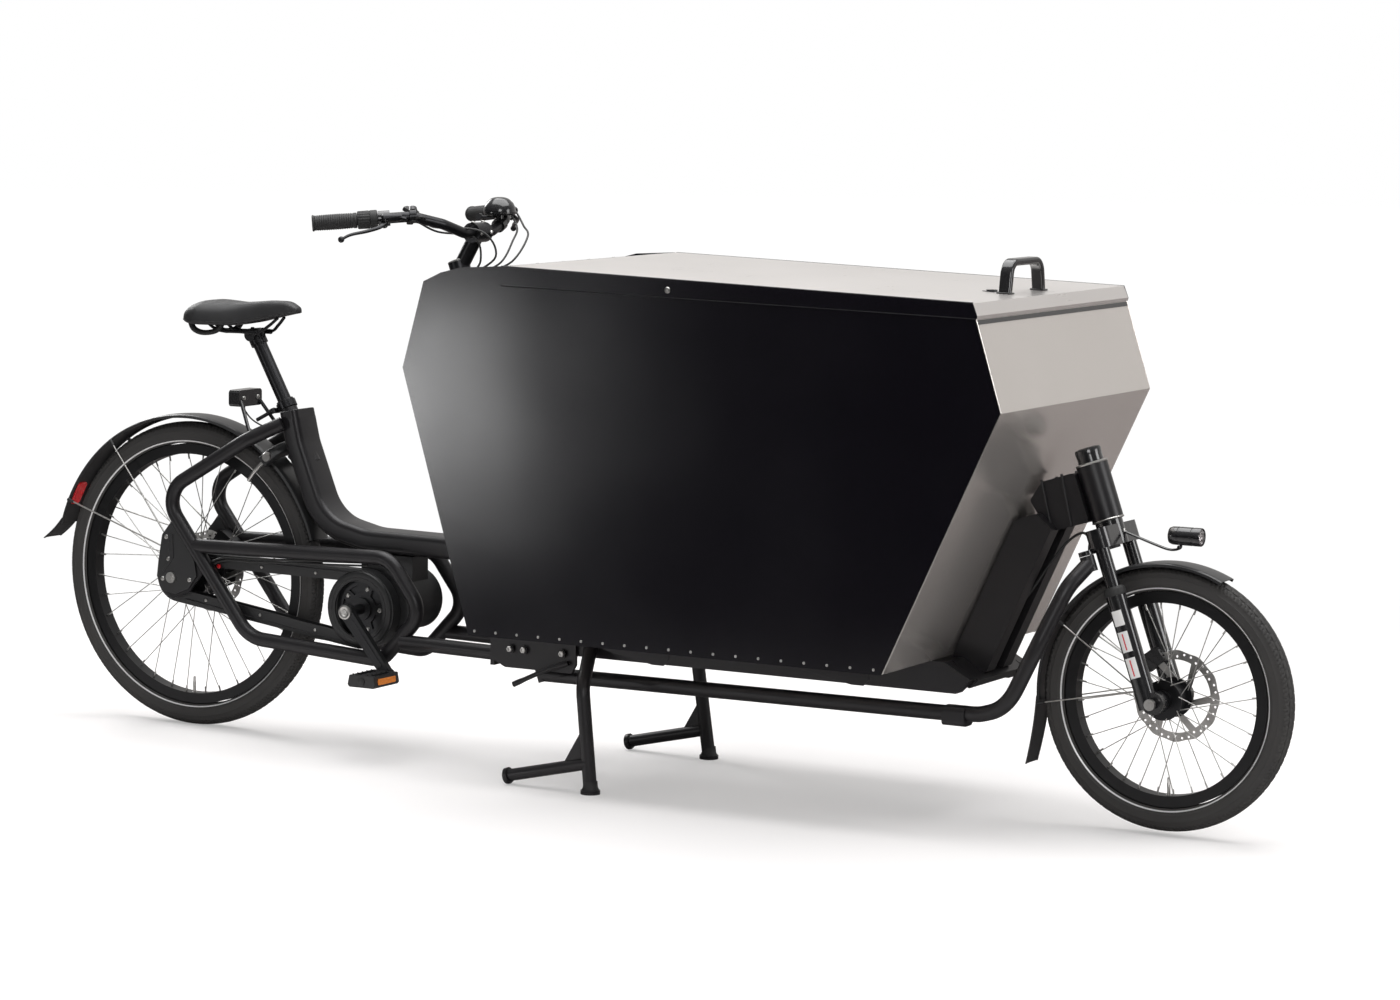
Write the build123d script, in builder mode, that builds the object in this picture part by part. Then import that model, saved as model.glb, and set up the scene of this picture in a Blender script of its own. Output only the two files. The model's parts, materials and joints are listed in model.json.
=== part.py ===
from build123d import *
import os
from math import atan2, cos, degrees, hypot, pi, radians, sin, tan

os.makedirs("parts", exist_ok=True)

# A front-loading cargo bicycle with a motor, a closed sheet-metal box between the rider and
# the front wheel, and linkage steering. Millimetres. X forward, Y to the rider's left, Z up.
# The origin is on the ground under the middle of the bicycle's length.

# ---------------------------------------------------------------- driving sizes
wheelbase = 2306.0
rear_tyre_r = 334.5
rear_bead_r = 279.5
front_tyre_r = 258.0
front_bead_r = 203.0
tyre_w = 55.0
tyre_wall = 3.5
front_lift = 8.0            # the stand holds the front tyre this far off the ground
flap_reach = 402.0          # rear mudflap's tip behind the rear axle

box_half_w = 348.5
sheet = 2.0
lid_gap = 1.0               # between the box sides and the lid's turned-down rims
box_floor_z = 320.0
box_peak_z = 831.0          # height of the crease across the box's front
lid_rear_z = 1062.0
lid_front_z = 1034.0
lid_rim = 36.0

main_w = 80.0
main_depth = 45.0
frame_tube_r = 15.5
loop_y = 85.0               # the rear frame's two loops, each side of the wheel
rail_y = 90.0
beam_inner_y = 19.0
beam_outer_y = 58.0

seat_lean = 29.0
post_r = 15.0
fit_gap = 0.05              # radial gap of a shaft in its bearing
body_gap = 0.5              # between pieces that move past each other

head_lean = 19.5
fork_offset = 14.0
fork_leg_y = 65.0
stanchion_r = 14.0
lower_r = 20.0
fork_travel = 30.0
arm_reach = 82.0            # steering arms: how far to the side of the turning axis the link hangs,
arm_back = 28.0             # and how far behind it
link_r = 15.5
link_z = 220.0

crank_len = 165.0
crank_deg = -50.0
crank_y = 114.0
spindle_r = 11.0
pedal_axle_r = 7.0
chain_y = 50.0

stand_y = 244.0
stand_pivot_z = 276.0
stand_tube_r = 13.0

grip_y = 304.0
bar_r = 11.0
column_r = 21.0
shaft_r = 16.0

# ---------------------------------------------------------------- places that follow
rear_x = -(wheelbase + front_tyre_r - flap_reach) / 2
front_x = rear_x + wheelbase
rear_z = rear_tyre_r
front_z = front_tyre_r + front_lift
lean = radians(head_lean)
up = Vector(-sin(lean), 0, cos(lean))
ahead = Vector(cos(lean), 0, sin(lean))
side = Vector(0, 1, 0)

fork_foot = Vector(front_x, 0, front_z) - ahead * fork_offset
box_rear_x = rear_x + 1001.0
box_front_x = front_x - 438.0       # where the floor meets the front panel
box_peak_x = front_x - 203.0
lid_front_x = front_x - 268.0
column_foot = Vector(rear_x + 969.0, 0, 222.0)
column_top_z = 1012.0
crank_x = rear_x + 477.0
crank_z = 300.0
main_z = 439.0                      # centre of the main tube's level stretch
stand_x = rear_x + 1097.0
foot_x = rear_x + 1159.0


def at(dx, y, z):
    """A point dx ahead of the rear axle."""
    return (rear_x + dx, y, z)


def on_fork(along, forward=0.0, sideways=0.0):
    """A point along the steering axis from the front axle, ahead of it and to its left."""
    return fork_foot + up * along + ahead * forward + side * sideways


def on_column(height, forward=0.0, sideways=0.0):
    """A point on the steering column at a given height."""
    return column_foot + up * ((height - column_foot.Z) / cos(lean)) + ahead * forward + side * sideways


def save(piece, name):
    piece.part.label = name
    export_step(piece.part, f"parts/{name}.step")


def rod(start, end, radius, bore=0.0):
    """A straight round bar or tube between two points."""
    along = Vector(*end) - Vector(*start)
    with BuildPart() as made:
        with BuildSketch(Plane(origin=tuple(start), z_dir=along)):
            Circle(radius)
            if bore:
                Circle(bore, mode=Mode.SUBTRACT)
        extrude(amount=along.length)
    return made.part


def bent(points, bends, radius):
    """A round bar along straight runs joined by arcs."""
    with BuildPart() as made:
        with BuildLine() as route:
            FilletPolyline(*points, radius=bends)
        with BuildSketch(Plane(origin=route.line @ 0, z_dir=route.line % 0)):
            Circle(radius)
        sweep()
    return made.part


def plate(outline, y_low, y_high, corner=0.0):
    """A flat plate standing fore and aft between two distances from the middle."""
    with BuildPart() as made:
        with BuildSketch(Plane.XZ.offset(-y_high)) as face:
            with BuildLine():
                Polyline(*outline, close=True)
            make_face()
            if corner:
                fillet(face.vertices(), radius=corner)
        extrude(amount=y_high - y_low)
    return made.part


def disc(x, z, radius, y_low, y_high, bore=0.0):
    """A round plate or ring whose axis runs across the bicycle."""
    with BuildPart() as made:
        with BuildSketch(Plane(origin=(x, y_high, z), x_dir=(1, 0, 0), z_dir=(0, -1, 0))):
            Circle(radius)
            if bore:
                Circle(bore, mode=Mode.SUBTRACT)
        extrude(amount=y_high - y_low)
    return made.part


def cord_bends(points):
    """Arcs as large as the runs beside each corner allow."""
    radii = []
    for before, corner, after in zip(points, points[1:], points[2:]):
        leaving = Vector(*corner) - Vector(*before)
        going = Vector(*after) - Vector(*corner)
        turn = radians(leaving.get_angle(going))
        radii.append(0.45 * min(leaving.length, going.length) / tan(turn / 2))
    return radii


# ---------------------------------------------------------------- wheels
rim_flange = 6.5            # rim edge above the tyre's bead
rim_depth = 22.0
rim_half_w = 15.0
spoke_r = 1.0
spoke_gap = 0.3
axle_r = 6.0
disc_thick = 2.0


def wheel(name, x, z, tyre_r, bead_r, hub_r, flange_y, hub_out, spokes, disc_r, disc_y):
    """Tyre, rim, spokes, hub and brake disc of one wheel."""
    across = Plane(origin=(x, 0, z), x_dir=(0, 1, 0), z_dir=(1, 0, 0))
    spin = Axis((x, 0, z), (0, 1, 0))
    rim_r = bead_r + rim_flange
    rim_inner_r = rim_r - rim_depth
    tube_r = tyre_r - tyre_w / 2

    with BuildPart() as tyre:
        with BuildSketch(across):
            with Locations((0, tube_r)):
                Circle(tyre_w / 2)
                Circle(tyre_w / 2 - tyre_wall, mode=Mode.SUBTRACT)
            with Locations((0, rim_r - tyre_w / 2)):
                Rectangle(tyre_w, tyre_w, mode=Mode.SUBTRACT)
        revolve(axis=spin)
    save(tyre, f"{name}_tyre")

    with BuildPart() as rim:
        with BuildSketch(across):
            with Locations((0, rim_r - rim_depth / 2)):
                Rectangle(2 * rim_half_w, rim_depth)
            with Locations((0, rim_r)):
                Rectangle(2 * (rim_half_w - 2.5), 2 * 9.0, mode=Mode.SUBTRACT)
            with Locations((0, rim_inner_r + 6.5)):
                Rectangle(2 * (rim_half_w - 3.5), 8.0, mode=Mode.SUBTRACT)
        revolve(axis=spin)
    save(rim, f"{name}_rim")

    hub_span = abs(disc_y) + 4.0
    with BuildPart() as hub:
        add(disc(x, z, hub_r, -flange_y, flange_y, axle_r + fit_gap))
        for edge in (-flange_y, flange_y):
            add(disc(x, z, hub_r + 9.0, edge - 2.0, edge + 2.0, axle_r + fit_gap))
        add(disc(x, z, 20.0, -hub_out, hub_span, axle_r + fit_gap))
    save(hub, f"{name}_hub")

    lace_r = hub_r + 5.0
    with BuildPart() as wires:
        for count in range(spokes):
            angle = 2 * pi * (count + 0.5) / spokes
            hand = 1 if count % 2 else -1
            cross = radians(34.0) if (count // 2) % 2 else -radians(34.0)
            foot_y = hand * (flange_y + (3.2 if (count // 2) % 2 else -3.2))
            foot = (x + lace_r * cos(angle + cross), foot_y, z + lace_r * sin(angle + cross))
            reach = rim_inner_r - spoke_gap
            add(rod(foot, (x + reach * cos(angle), hand * 4.0, z + reach * sin(angle)), spoke_r))
    save(wires, f"{name}_spokes")

    low, high = disc_y - disc_thick / 2, disc_y + disc_thick / 2
    with BuildPart() as rotor:
        add(disc(x, z, disc_r, low, high, disc_r - 16.0))
        add(disc(x, z, 34.0, low, high, 20.0 + fit_gap))
        for arm in range(6):
            angle = arm * pi / 3
            arm_z = Plane(origin=(x, high, z), x_dir=(cos(angle), 0, sin(angle)), z_dir=(0, -1, 0))
            with BuildSketch(arm_z):
                with Locations(((disc_r - 16.0 + 30.0) / 2, 0)):
                    Rectangle(disc_r - 16.0 - 30.0 + 6.0, 9.0)
            extrude(amount=disc_thick)
        holes = Plane(origin=(x, high, z), x_dir=(1, 0, 0), z_dir=(0, -1, 0))
        with BuildSketch(holes):
            with PolarLocations(disc_r - 8.0, 24):
                Circle(3.0)
        extrude(amount=disc_thick, mode=Mode.SUBTRACT)
    save(rotor, f"{name}_disc")


rear_disc_y = 52.0
front_disc_y = 40.0
rear_disc_r = 90.0
front_disc_r = 90.0
wheel("rear", rear_x, rear_z, rear_tyre_r, rear_bead_r, 46.0, 30.0, chain_y + 4.0, 36, rear_disc_r, rear_disc_y)
wheel("front", front_x, front_z, front_tyre_r, front_bead_r, 30.0, 26.0, abs(front_disc_y) - 4.0, 32,
      front_disc_r, front_disc_y)

drop_y = 78.0
drop_thick = 7.0
with BuildPart() as rear_axle:
    add(disc(rear_x, rear_z, axle_r, -drop_y - 20.0, drop_y + 20.0))
    for hand in (-1, 1):
        near = hand * (drop_y + drop_thick + body_gap)
        far = near + hand * 9.0
        add(disc(rear_x, rear_z, 12.0, min(near, far), max(near, far)))
save(rear_axle, "rear_axle")

with BuildPart() as front_axle:
    add(disc(front_x, front_z, axle_r, -fork_leg_y - 29.0, fork_leg_y + 29.0))
    for hand in (-1, 1):
        near = hand * (fork_leg_y + lower_r + body_gap)
        far = near + hand * 8.0
        add(disc(front_x, front_z, 11.0, min(near, far), max(near, far)))
save(front_axle, "front_axle")

# ---------------------------------------------------------------- frame
# The main tube drops from the seat, sweeps forward under the rider and ends at the column.
seat_dir = Vector(-sin(radians(seat_lean)), 0, cos(radians(seat_lean)))
collar = Vector(*at(236.0, 0, 728.0))
main_rear_x = rear_x + 268.0
main_front = on_column(main_z)
main_path = [
    (main_rear_x, 0, 708.0),
    (rear_x + 284.0, 0, 640.0),
    (rear_x + 352.0, 0, 470.0),
    (rear_x + 470.0, 0, main_z + 4.0),
    (main_front.X - column_r, 0, main_z),
]
seat_back = Vector(-cos(radians(seat_lean)), 0, -sin(radians(seat_lean)))
clamp_bolt = collar - seat_dir * 12.0 + seat_back * (post_r + 9.0)
bolt_half = 15.0
with BuildPart() as main_tube:
    with BuildLine() as sweep_line:
        FilletPolyline(*main_path, radius=[150.0, 120.0, 160.0])
    with BuildSketch(Plane(origin=sweep_line.line @ 0, x_dir=(0, 1, 0), z_dir=sweep_line.line % 0)):
        RectangleRounded(main_w, main_depth, 12.0)
        RectangleRounded(main_w - 6.0, main_depth - 6.0, 9.0, mode=Mode.SUBTRACT)
    sweep()
    add(rod(collar - seat_dir * 150.0, collar, post_r + 4.0))
    add(rod(clamp_bolt - side * bolt_half, clamp_bolt + side * bolt_half, 6.0))
    add(rod(collar, collar - seat_dir * 210.0, post_r + fit_gap), mode=Mode.SUBTRACT)
    add(rod(on_column(main_z - 60.0), on_column(main_z + 60.0), column_r - 1.0), mode=Mode.SUBTRACT)
save(main_tube, "main_tube")

with BuildPart() as column_tube:
    add(rod(on_column(262.0), on_column(column_top_z - 14.0), column_r, shaft_r + fit_gap))
save(column_tube, "column_tube")

# Each loop runs from the seat tube back, down past the axle, forward under the motor and home.
loop_out = [(262, 46, 682), (192, 78, 646), (-27, loop_y, 516), (203, loop_y, 219.5), (390, loop_y, 208)]
loop_home = [
    (390, loop_y, 208), (547, loop_y, 199), (649, loop_y, 308), (566, loop_y, 418), (60, loop_y, 408)
]
drop_outline = [(-34, 372), (-24, 424), (2, 452), (62, 408), (96, 372), (44, 306), (0, 288), (-30, 312)]
with BuildPart() as rear_frame:
    add(bent([at(*p) for p in loop_out], [90.0, 55.0, 80.0], frame_tube_r))
    add(bent([at(*p) for p in loop_home], [45.0, 50.0, 60.0], frame_tube_r))
    add(plate([(rear_x + dx, z) for dx, z in drop_outline], drop_y, drop_y + drop_thick, 6.0))
    add(disc(rear_x, rear_z, axle_r + fit_gap, drop_y - 1.0, drop_y + drop_thick + 1.0), mode=Mode.SUBTRACT)
    mirror(about=Plane.XZ)
save(rear_frame, "rear_frame")

cross_x = rear_x + 864.0
tray_y = 120.0
tray_half = 15.0
tray_wall = 2.5
tray_low = 258.0
tray_high = box_floor_z - 2.0
bracket_outline = [
    (cross_x - 8, 300), (cross_x - 8, 238), (cross_x + 26, 222), (rear_x + 1050, 222), (rear_x + 1060, 240),
    (rear_x + 1060, 300),
]
with BuildPart() as bottom_rails:
    add(rod(at(600, rail_y, 244), (cross_x, rail_y, 240), frame_tube_r))
    mirror(about=Plane.XZ)
    add(plate([(cross_x - 10, 224), (cross_x - 10, tray_high), (cross_x, tray_high), (cross_x, 224)],
              -tray_y - 22, tray_y + 22))
    web_low = on_column(300.0, 1.5 - column_r)
    web_high = on_column(404.0, 1.5 - column_r)
    add(plate([(cross_x - 2, 300), (cross_x - 2, 318), (web_high.X, web_high.Z), (web_low.X, web_low.Z)], -4, 4))
    for hand in (-1, 1):
        inner = hand * (tray_y + tray_half + 0.2)
        outer = inner + hand * 7.0
        head = outer + hand * 7.0
        add(plate(bracket_outline, *sorted((inner, outer)), 5.0))
        for dx in (905, 938, 1030):
            add(disc(rear_x + dx, 262, 9.0, *sorted((outer, head))))
save(bottom_rails, "bottom_rails")


# Front tray under the box: two side members, cross members and a nose plate.
nose_x = front_x - 354.0
rib_wide = 40.0
first_rib = stand_x + 83.0
last_rib = nose_x - 172.0
with BuildPart() as front_tray:
    for hand in (-1, 1):
        add(plate([(cross_x, tray_low), (cross_x, tray_high), (nose_x - 60, tray_high), (nose_x - 4, 288),
                   (nose_x - 34, tray_low)], hand * tray_y - tray_half, hand * tray_y + tray_half))
        add(plate([(cross_x - 1, tray_low + tray_wall), (cross_x - 1, tray_high - tray_wall),
                   (nose_x - 64, tray_high - tray_wall), (nose_x - 64, tray_low + tray_wall)],
                  hand * tray_y - tray_half + tray_wall, hand * tray_y + tray_half - tray_wall),
            mode=Mode.SUBTRACT)
    for rib_x in (first_rib, (first_rib + last_rib) / 2, last_rib):
        add(plate([(rib_x, 282), (rib_x, tray_high), (rib_x + rib_wide, tray_high), (rib_x + rib_wide, 282)],
                  -tray_y + tray_half, tray_y - tray_half))
    add(plate([(nose_x - 90, 300), (nose_x - 90, tray_high), (nose_x - 56, tray_high), (nose_x, 284),
               (nose_x - 20, 266)], -tray_y + tray_half, tray_y - tray_half))
    for hand in (-1, 1):
        add(disc(stand_x, stand_pivot_z, stand_tube_r + fit_gap, hand * tray_y - 20, hand * tray_y + 20),
            mode=Mode.SUBTRACT)
save(front_tray, "front_tray")


def box_front_at(z):
    """X of the box's lower front face at a height."""
    return box_front_x + (z - box_floor_z) * (box_peak_x - box_front_x) / (box_peak_z - box_floor_z)


beam_gap = 4.0              # between the beams and the box's front
beam_top_z = 596.0
beam_foot_z = 290.0
with BuildPart() as front_beams:
    for hand in (-1, 1):
        inner, outer = sorted((hand * beam_inner_y, hand * beam_outer_y))
        add(plate([(box_front_at(beam_foot_z + 28) + beam_gap, beam_foot_z + 28), (nose_x - 8, beam_foot_z),
                   (front_x - 228, beam_top_z - 12), (front_x - 262, beam_top_z + 16),
                   (box_front_at(beam_top_z) + beam_gap, beam_top_z)], inner, outer, 8.0))
save(front_beams, "front_beams")

head_low = 364.0
head_high = 476.0
head_r = 31.0
gusset_outline = [(-194, 694), (-262, 672), (-286, 634), (-262, 600), (-236, 578), (-160, 600)]
with BuildPart() as head_tube:
    add(rod(on_fork(head_low), on_fork(head_high), head_r))
    add(plate([(front_x + dx, z) for dx, z in gusset_outline], -34, 34, 8.0))
    add(rod(on_fork(head_low - 5), on_fork(head_high + 5), shaft_r + 2.0 + fit_gap), mode=Mode.SUBTRACT)
save(head_tube, "head_tube")

# ---------------------------------------------------------------- drive
motor_right = -36.0
motor_left = 60.0
ring_r = 68.0
with BuildPart() as motor_unit:
    add(disc(crank_x, crank_z, 84.0, motor_right, motor_left))
    add(disc(crank_x + 62.0, crank_z + 18.0, 66.0, motor_right, motor_left))
    add(plate([(crank_x - 20, crank_z + 60), (crank_x - 20, main_z - main_depth / 2 - 0.5),
               (crank_x + 110, main_z - main_depth / 2 - 0.5), (crank_x + 110, crank_z + 50)], -30, 30))
    add(disc(crank_x, crank_z, spindle_r + fit_gap, motor_right - 1, motor_left + 1), mode=Mode.SUBTRACT)
save(motor_unit, "motor_unit")

crank_dir = Vector(cos(radians(crank_deg)), 0, sin(radians(crank_deg)))
crank_centre = Vector(crank_x, 0, crank_z)
arm_half = 7.0
pedal_low = crank_y + arm_half + 3.0
pedal_high = pedal_low + 92.0


def crank_arm(direction, hand):
    """One crank arm with its pedal axle."""
    tip = crank_centre + direction * crank_len
    inner, outer = sorted((hand * (crank_y - arm_half), hand * (crank_y + arm_half)))
    across = Vector(-direction.Z, 0, direction.X)
    corners = [crank_centre + across * 15, tip + across * 12, tip - across * 12, crank_centre - across * 15]
    with BuildPart() as made:
        add(plate([(corner.X, corner.Z) for corner in corners], inner, outer))
        add(disc(crank_x, crank_z, 18.0, inner, outer))
        add(disc(tip.X, tip.Z, 14.0, inner, outer))
        add(rod(tip + side * hand * crank_y, tip + side * hand * (pedal_high - 6), pedal_axle_r))
    return made.part


with BuildPart() as crankset:
    add(crank_arm(crank_dir, -1))
    add(crank_arm(crank_dir * -1, 1))
    add(disc(crank_x, crank_z, spindle_r, -crank_y, crank_y))
    add(disc(crank_x, crank_z, ring_r, -chain_y - 1.5, -chain_y + 1.5))
    add(disc(crank_x, crank_z, 24.0, -chain_y - 12.0, -chain_y + 8.0))
save(crankset, "crankset")

for name, direction, hand in (("right_pedal", crank_dir, -1), ("left_pedal", crank_dir * -1, 1)):
    centre = crank_centre + direction * crank_len
    inner, outer = sorted((hand * pedal_low, hand * pedal_high))
    with BuildPart() as pedal:
        add(plate([(centre.X - 34, centre.Z - 8), (centre.X - 30, centre.Z + 12), (centre.X + 30, centre.Z + 12),
                   (centre.X + 34, centre.Z - 8), (centre.X + 30, centre.Z - 13), (centre.X - 30, centre.Z - 13)],
                  inner, outer))
        for gap in (-1, 1):
            low, high = sorted((hand * (pedal_low + 14), hand * (pedal_high - 14)))
            add(plate([(centre.X + gap * 12, centre.Z - 20), (centre.X + gap * 12, centre.Z + 20),
                       (centre.X + gap * 25, centre.Z + 20), (centre.X + gap * 25, centre.Z - 20)], low, high),
                mode=Mode.SUBTRACT)
        add(disc(centre.X, centre.Z, pedal_axle_r + fit_gap, inner - 1, outer + 1), mode=Mode.SUBTRACT)
    save(pedal, name)

cog_r = 36.0
with BuildPart() as rear_sprocket:
    add(disc(rear_x, rear_z, cog_r, -chain_y - 1.5, -chain_y + 1.5, 20.0 + fit_gap))
save(rear_sprocket, "rear_sprocket")


def belt_outline(sketch_r_front, sketch_r_rear):
    """The convex outline round the two sprockets, drawn on the current sketch."""
    with Locations((crank_x, crank_z)):
        Circle(sketch_r_front)
    with Locations((rear_x, rear_z)):
        Circle(sketch_r_rear)


chain_gap = 0.6
with BuildPart() as drive_chain:
    with BuildSketch(Plane.XZ.offset(chain_y - 3.5)):
        belt_outline(ring_r + chain_gap + 7.0, cog_r + chain_gap + 7.0)
        make_hull()
    extrude(amount=7.0)
    with BuildSketch(Plane.XZ.offset(chain_y - 4.5)):
        belt_outline(ring_r + chain_gap, cog_r + chain_gap)
        make_hull()
    extrude(amount=9.0, mode=Mode.SUBTRACT)
save(drive_chain, "drive_chain")

case_low = chain_y - 11.0
case_high = chain_y + 15.0
case_wall = 2.0
with BuildPart() as chain_case:
    with BuildSketch(Plane.XZ.offset(case_low)):
        belt_outline(ring_r + 17.0, cog_r + 20.0)
        make_hull()
    extrude(amount=case_high - case_low)
    with BuildSketch(Plane.XZ.offset(case_low + case_wall)):
        belt_outline(ring_r + 15.0, cog_r + 18.0)
        make_hull()
    extrude(amount=case_high - case_low - 2 * case_wall, mode=Mode.SUBTRACT)
    with BuildSketch(Plane.XZ.offset(case_low - 1.0)):
        belt_outline(ring_r - 10.0, 27.0)
        make_hull()
    extrude(amount=case_high - case_low + 2.0, mode=Mode.SUBTRACT)
save(chain_case, "chain_case")

caliper_reach = rear_disc_r - 8.0
caliper_dir = Vector(cos(radians(55.0)), 0, sin(radians(55.0)))
caliper_centre = Vector(rear_x, rear_disc_y, rear_z) + caliper_dir * caliper_reach
with BuildPart() as rear_caliper:
    with BuildSketch(Plane(origin=caliper_centre, x_dir=caliper_dir, z_dir=(0, -1, 0))):
        RectangleRounded(36.0, 52.0, 8.0)
    extrude(amount=15.0, both=True)
    add(disc(rear_x, rear_z, rear_disc_r + 3.0, rear_disc_y - 3.0, rear_disc_y + 3.0), mode=Mode.SUBTRACT)
    add(rod(caliper_centre + side * 8.0 + caliper_dir * 4.0, caliper_centre + side * (drop_y - rear_disc_y)
            + caliper_dir * 4.0, 6.0))
save(rear_caliper, "rear_caliper")

battery_foot = on_column(520.0, 34.0)
with BuildPart() as battery_pack:
    with BuildSketch(Plane(origin=battery_foot + ahead * 36.0, x_dir=(0, 1, 0), z_dir=up)):
        RectangleRounded(92.0, 72.0, 12.0)
    extrude(amount=340.0)
save(battery_pack, "battery_pack")

# ---------------------------------------------------------------- mudguards and rear light
guard_half = 31.0
guard_thick = 2.5


def mudguard(x, z, inner_r, start_deg, end_deg):
    """A rolled guard round a wheel between two angles."""
    with BuildPart() as made:
        with BuildSketch(Plane(origin=(x, 0, z), x_dir=(0, 1, 0), z_dir=(1, 0, 0))):
            with Locations((0, inner_r + guard_thick / 2)):
                Rectangle(2 * guard_half, guard_thick)
            for edge in (-1, 1):
                with Locations((edge * (guard_half - guard_thick / 2), inner_r - 4.0)):
                    Rectangle(guard_thick, 10.0)
        revolve(axis=Axis((x, 0, z), (0, -1, 0)), revolution_arc=end_deg - start_deg)
    turned = made.part.rotate(Axis((x, 0, z), (0, -1, 0)), start_deg - 90.0)
    return turned


guard_r = 353.0
guard_x = rear_x - 8.0
guard_z = rear_z - 4.0
rear_guard = mudguard(guard_x, guard_z, guard_r, 17.0, 165.0)
flap_root = (guard_x + (guard_r + 1) * cos(radians(166.0)), guard_z + (guard_r + 1) * sin(radians(166.0)))
with BuildPart() as rear_fender:
    add(rear_guard)
    add(plate([flap_root, (rear_x - flap_reach, 388), (rear_x - flap_reach + 6, 385),
               (flap_root[0] + 8, flap_root[1] - 16)], -guard_half, guard_half))
    for hand in (-1, 1):
        for stay_deg, foot_z in ((155.0, 60.0), (125.0, 78.0)):
            tip = Vector(guard_x + (guard_r - 6) * cos(radians(stay_deg)), hand * (guard_half + 1.2),
                         guard_z + (guard_r - 6) * sin(radians(stay_deg)))
            add(rod(tip, (rear_x - 6, hand * (drop_y + drop_thick + 3), rear_z + foot_z), 2.5))
save(rear_fender, "rear_fender")

front_guard_r = front_tyre_r + 6.0
front_guard = mudguard(front_x, front_z, front_guard_r, 64.0, 186.0)
flap_deg = radians(186.0)
flap_top = (front_x + (front_guard_r + 1) * cos(flap_deg), front_z + (front_guard_r + 1) * sin(flap_deg))
with BuildPart() as front_fender:
    add(front_guard)
    add(plate([flap_top, (front_x - 290, front_z - 152), (front_x - 284, front_z - 155),
               (flap_top[0] + 4, flap_top[1] - 12)], -guard_half + 4, guard_half - 4))
    for hand in (-1, 1):
        for stay_deg in (186.0, 148.0):
            tip = Vector(front_x + (front_guard_r - 6) * cos(radians(stay_deg)), hand * (guard_half + 1.2),
                         front_z + (front_guard_r - 6) * sin(radians(stay_deg)))
            add(rod(tip, (front_x - 34, hand * (fork_leg_y - 8), front_z + 20), 2.0))
save(front_fender, "front_fender")

light_x = rear_x + 132.0
light_z = 729.0
with BuildPart() as rear_light:
    with BuildSketch(Plane(origin=(light_x - 14, 0, light_z), x_dir=(0, 1, 0), z_dir=(1, 0, 0))):
        RectangleRounded(84.0, 36.0, 8.0)
    extrude(amount=28.0)
    for hand in (-1, 1):
        add(rod((light_x + 13, hand * 34, light_z - 6), at(186, hand * 58, 655), 4.0))
save(rear_light, "rear_light")

# Ring lock: a horseshoe round the tyre with a hook that slides round inside it.
lock_deg = 50.0
lock_out = Vector(cos(radians(lock_deg)), 0, sin(radians(lock_deg)))
lock_axis = Vector(-sin(radians(lock_deg)), 0, cos(radians(lock_deg)))
lock_centre = Vector(rear_x, 0, rear_z) + lock_out * (rear_tyre_r - 22.0)
lock_mid_r = 66.0
lock_wall = 9.0
lock_mouth = 0.42           # the mouth starts this share of the radius towards the hub
hook_r = 4.5
hook_gap = 0.5
hook_start = 70.0
hook_sweep = 150.0
lock_plane = Plane(origin=lock_centre, x_dir=(0, 1, 0), z_dir=lock_axis)
lock_section = Plane(origin=lock_centre, x_dir=(0, 1, 0), z_dir=lock_out)
with BuildPart() as ring_lock_body:
    with BuildSketch(lock_plane):
        Circle(lock_mid_r + lock_wall)
        Circle(lock_mid_r - lock_wall, mode=Mode.SUBTRACT)
        with Locations((0, lock_mid_r * (lock_mouth + 0.7))):
            Rectangle(4 * lock_mid_r, lock_mid_r * 1.4, mode=Mode.SUBTRACT)
    extrude(amount=11.0, both=True)
    with BuildSketch(lock_section):
        with Locations((lock_mid_r, 0)):
            Circle(hook_r + hook_gap)
    revolve(axis=Axis(lock_centre, lock_axis), mode=Mode.SUBTRACT)
save(ring_lock_body, "ring_lock_body")

with BuildPart() as ring_lock_hook:
    with BuildSketch(lock_section):
        with Locations((lock_mid_r, 0)):
            Circle(hook_r)
    revolve(axis=Axis(lock_centre, lock_axis), revolution_arc=hook_sweep)
ring_lock_hook.part = ring_lock_hook.part.rotate(Axis(lock_centre, lock_axis), hook_start + 90.0)
save(ring_lock_hook, "ring_lock_hook")

# ---------------------------------------------------------------- cargo box
side_outline = [
    (box_rear_x - 69.0, box_floor_z - 3.0),
    (box_rear_x - 231.0, 849.0),
    (box_rear_x - 182.0, 1025.0),
    (box_rear_x - 141.0, 1044.0),
    (box_rear_x - 94.0, 1056.0),
    (box_rear_x, 1062.0),
    (box_rear_x + 2.0, lid_rear_z - sheet - lid_gap - 3.0),
    (lid_front_x - 3.0, lid_front_z - sheet - lid_gap - 3.0),
    (lid_front_x + 5.0, lid_front_z - 28.0),
    (box_peak_x - sheet - 0.5, box_peak_z),
    (box_front_x - sheet - 3.5, box_floor_z - 3.0),
]
panel_in = box_half_w - sheet
stud_x = rear_x + 1385.0
stud_z = 1031.0
stud_r = 6.0
strut_x = rear_x + 1060.0
strut_z = 800.0
strut_y = box_half_w - 22.0
with BuildPart() as box_sides:
    add(plate(side_outline, panel_in, box_half_w))
    notch = [(stud_x - 12, stud_z - 12), (stud_x - 12, lid_rear_z), (stud_x + 12, lid_rear_z),
             (stud_x + 12, stud_z - 12)]
    add(plate(notch, panel_in - 1, box_half_w + 1), mode=Mode.SUBTRACT)
    add(disc(strut_x, strut_z, 5.0, strut_y - 8, panel_in))
    mirror(about=Plane.XZ)
save(box_sides, "box_sides")

floor_top = box_floor_z + 3.0
with BuildPart() as box_floor:
    add(plate([(box_rear_x + sheet, box_floor_z), (box_rear_x + sheet, floor_top), (box_front_x - 7.0, floor_top),
               (box_front_x - 7.0, box_floor_z)], -panel_in, panel_in))
save(box_floor, "box_floor")

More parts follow.
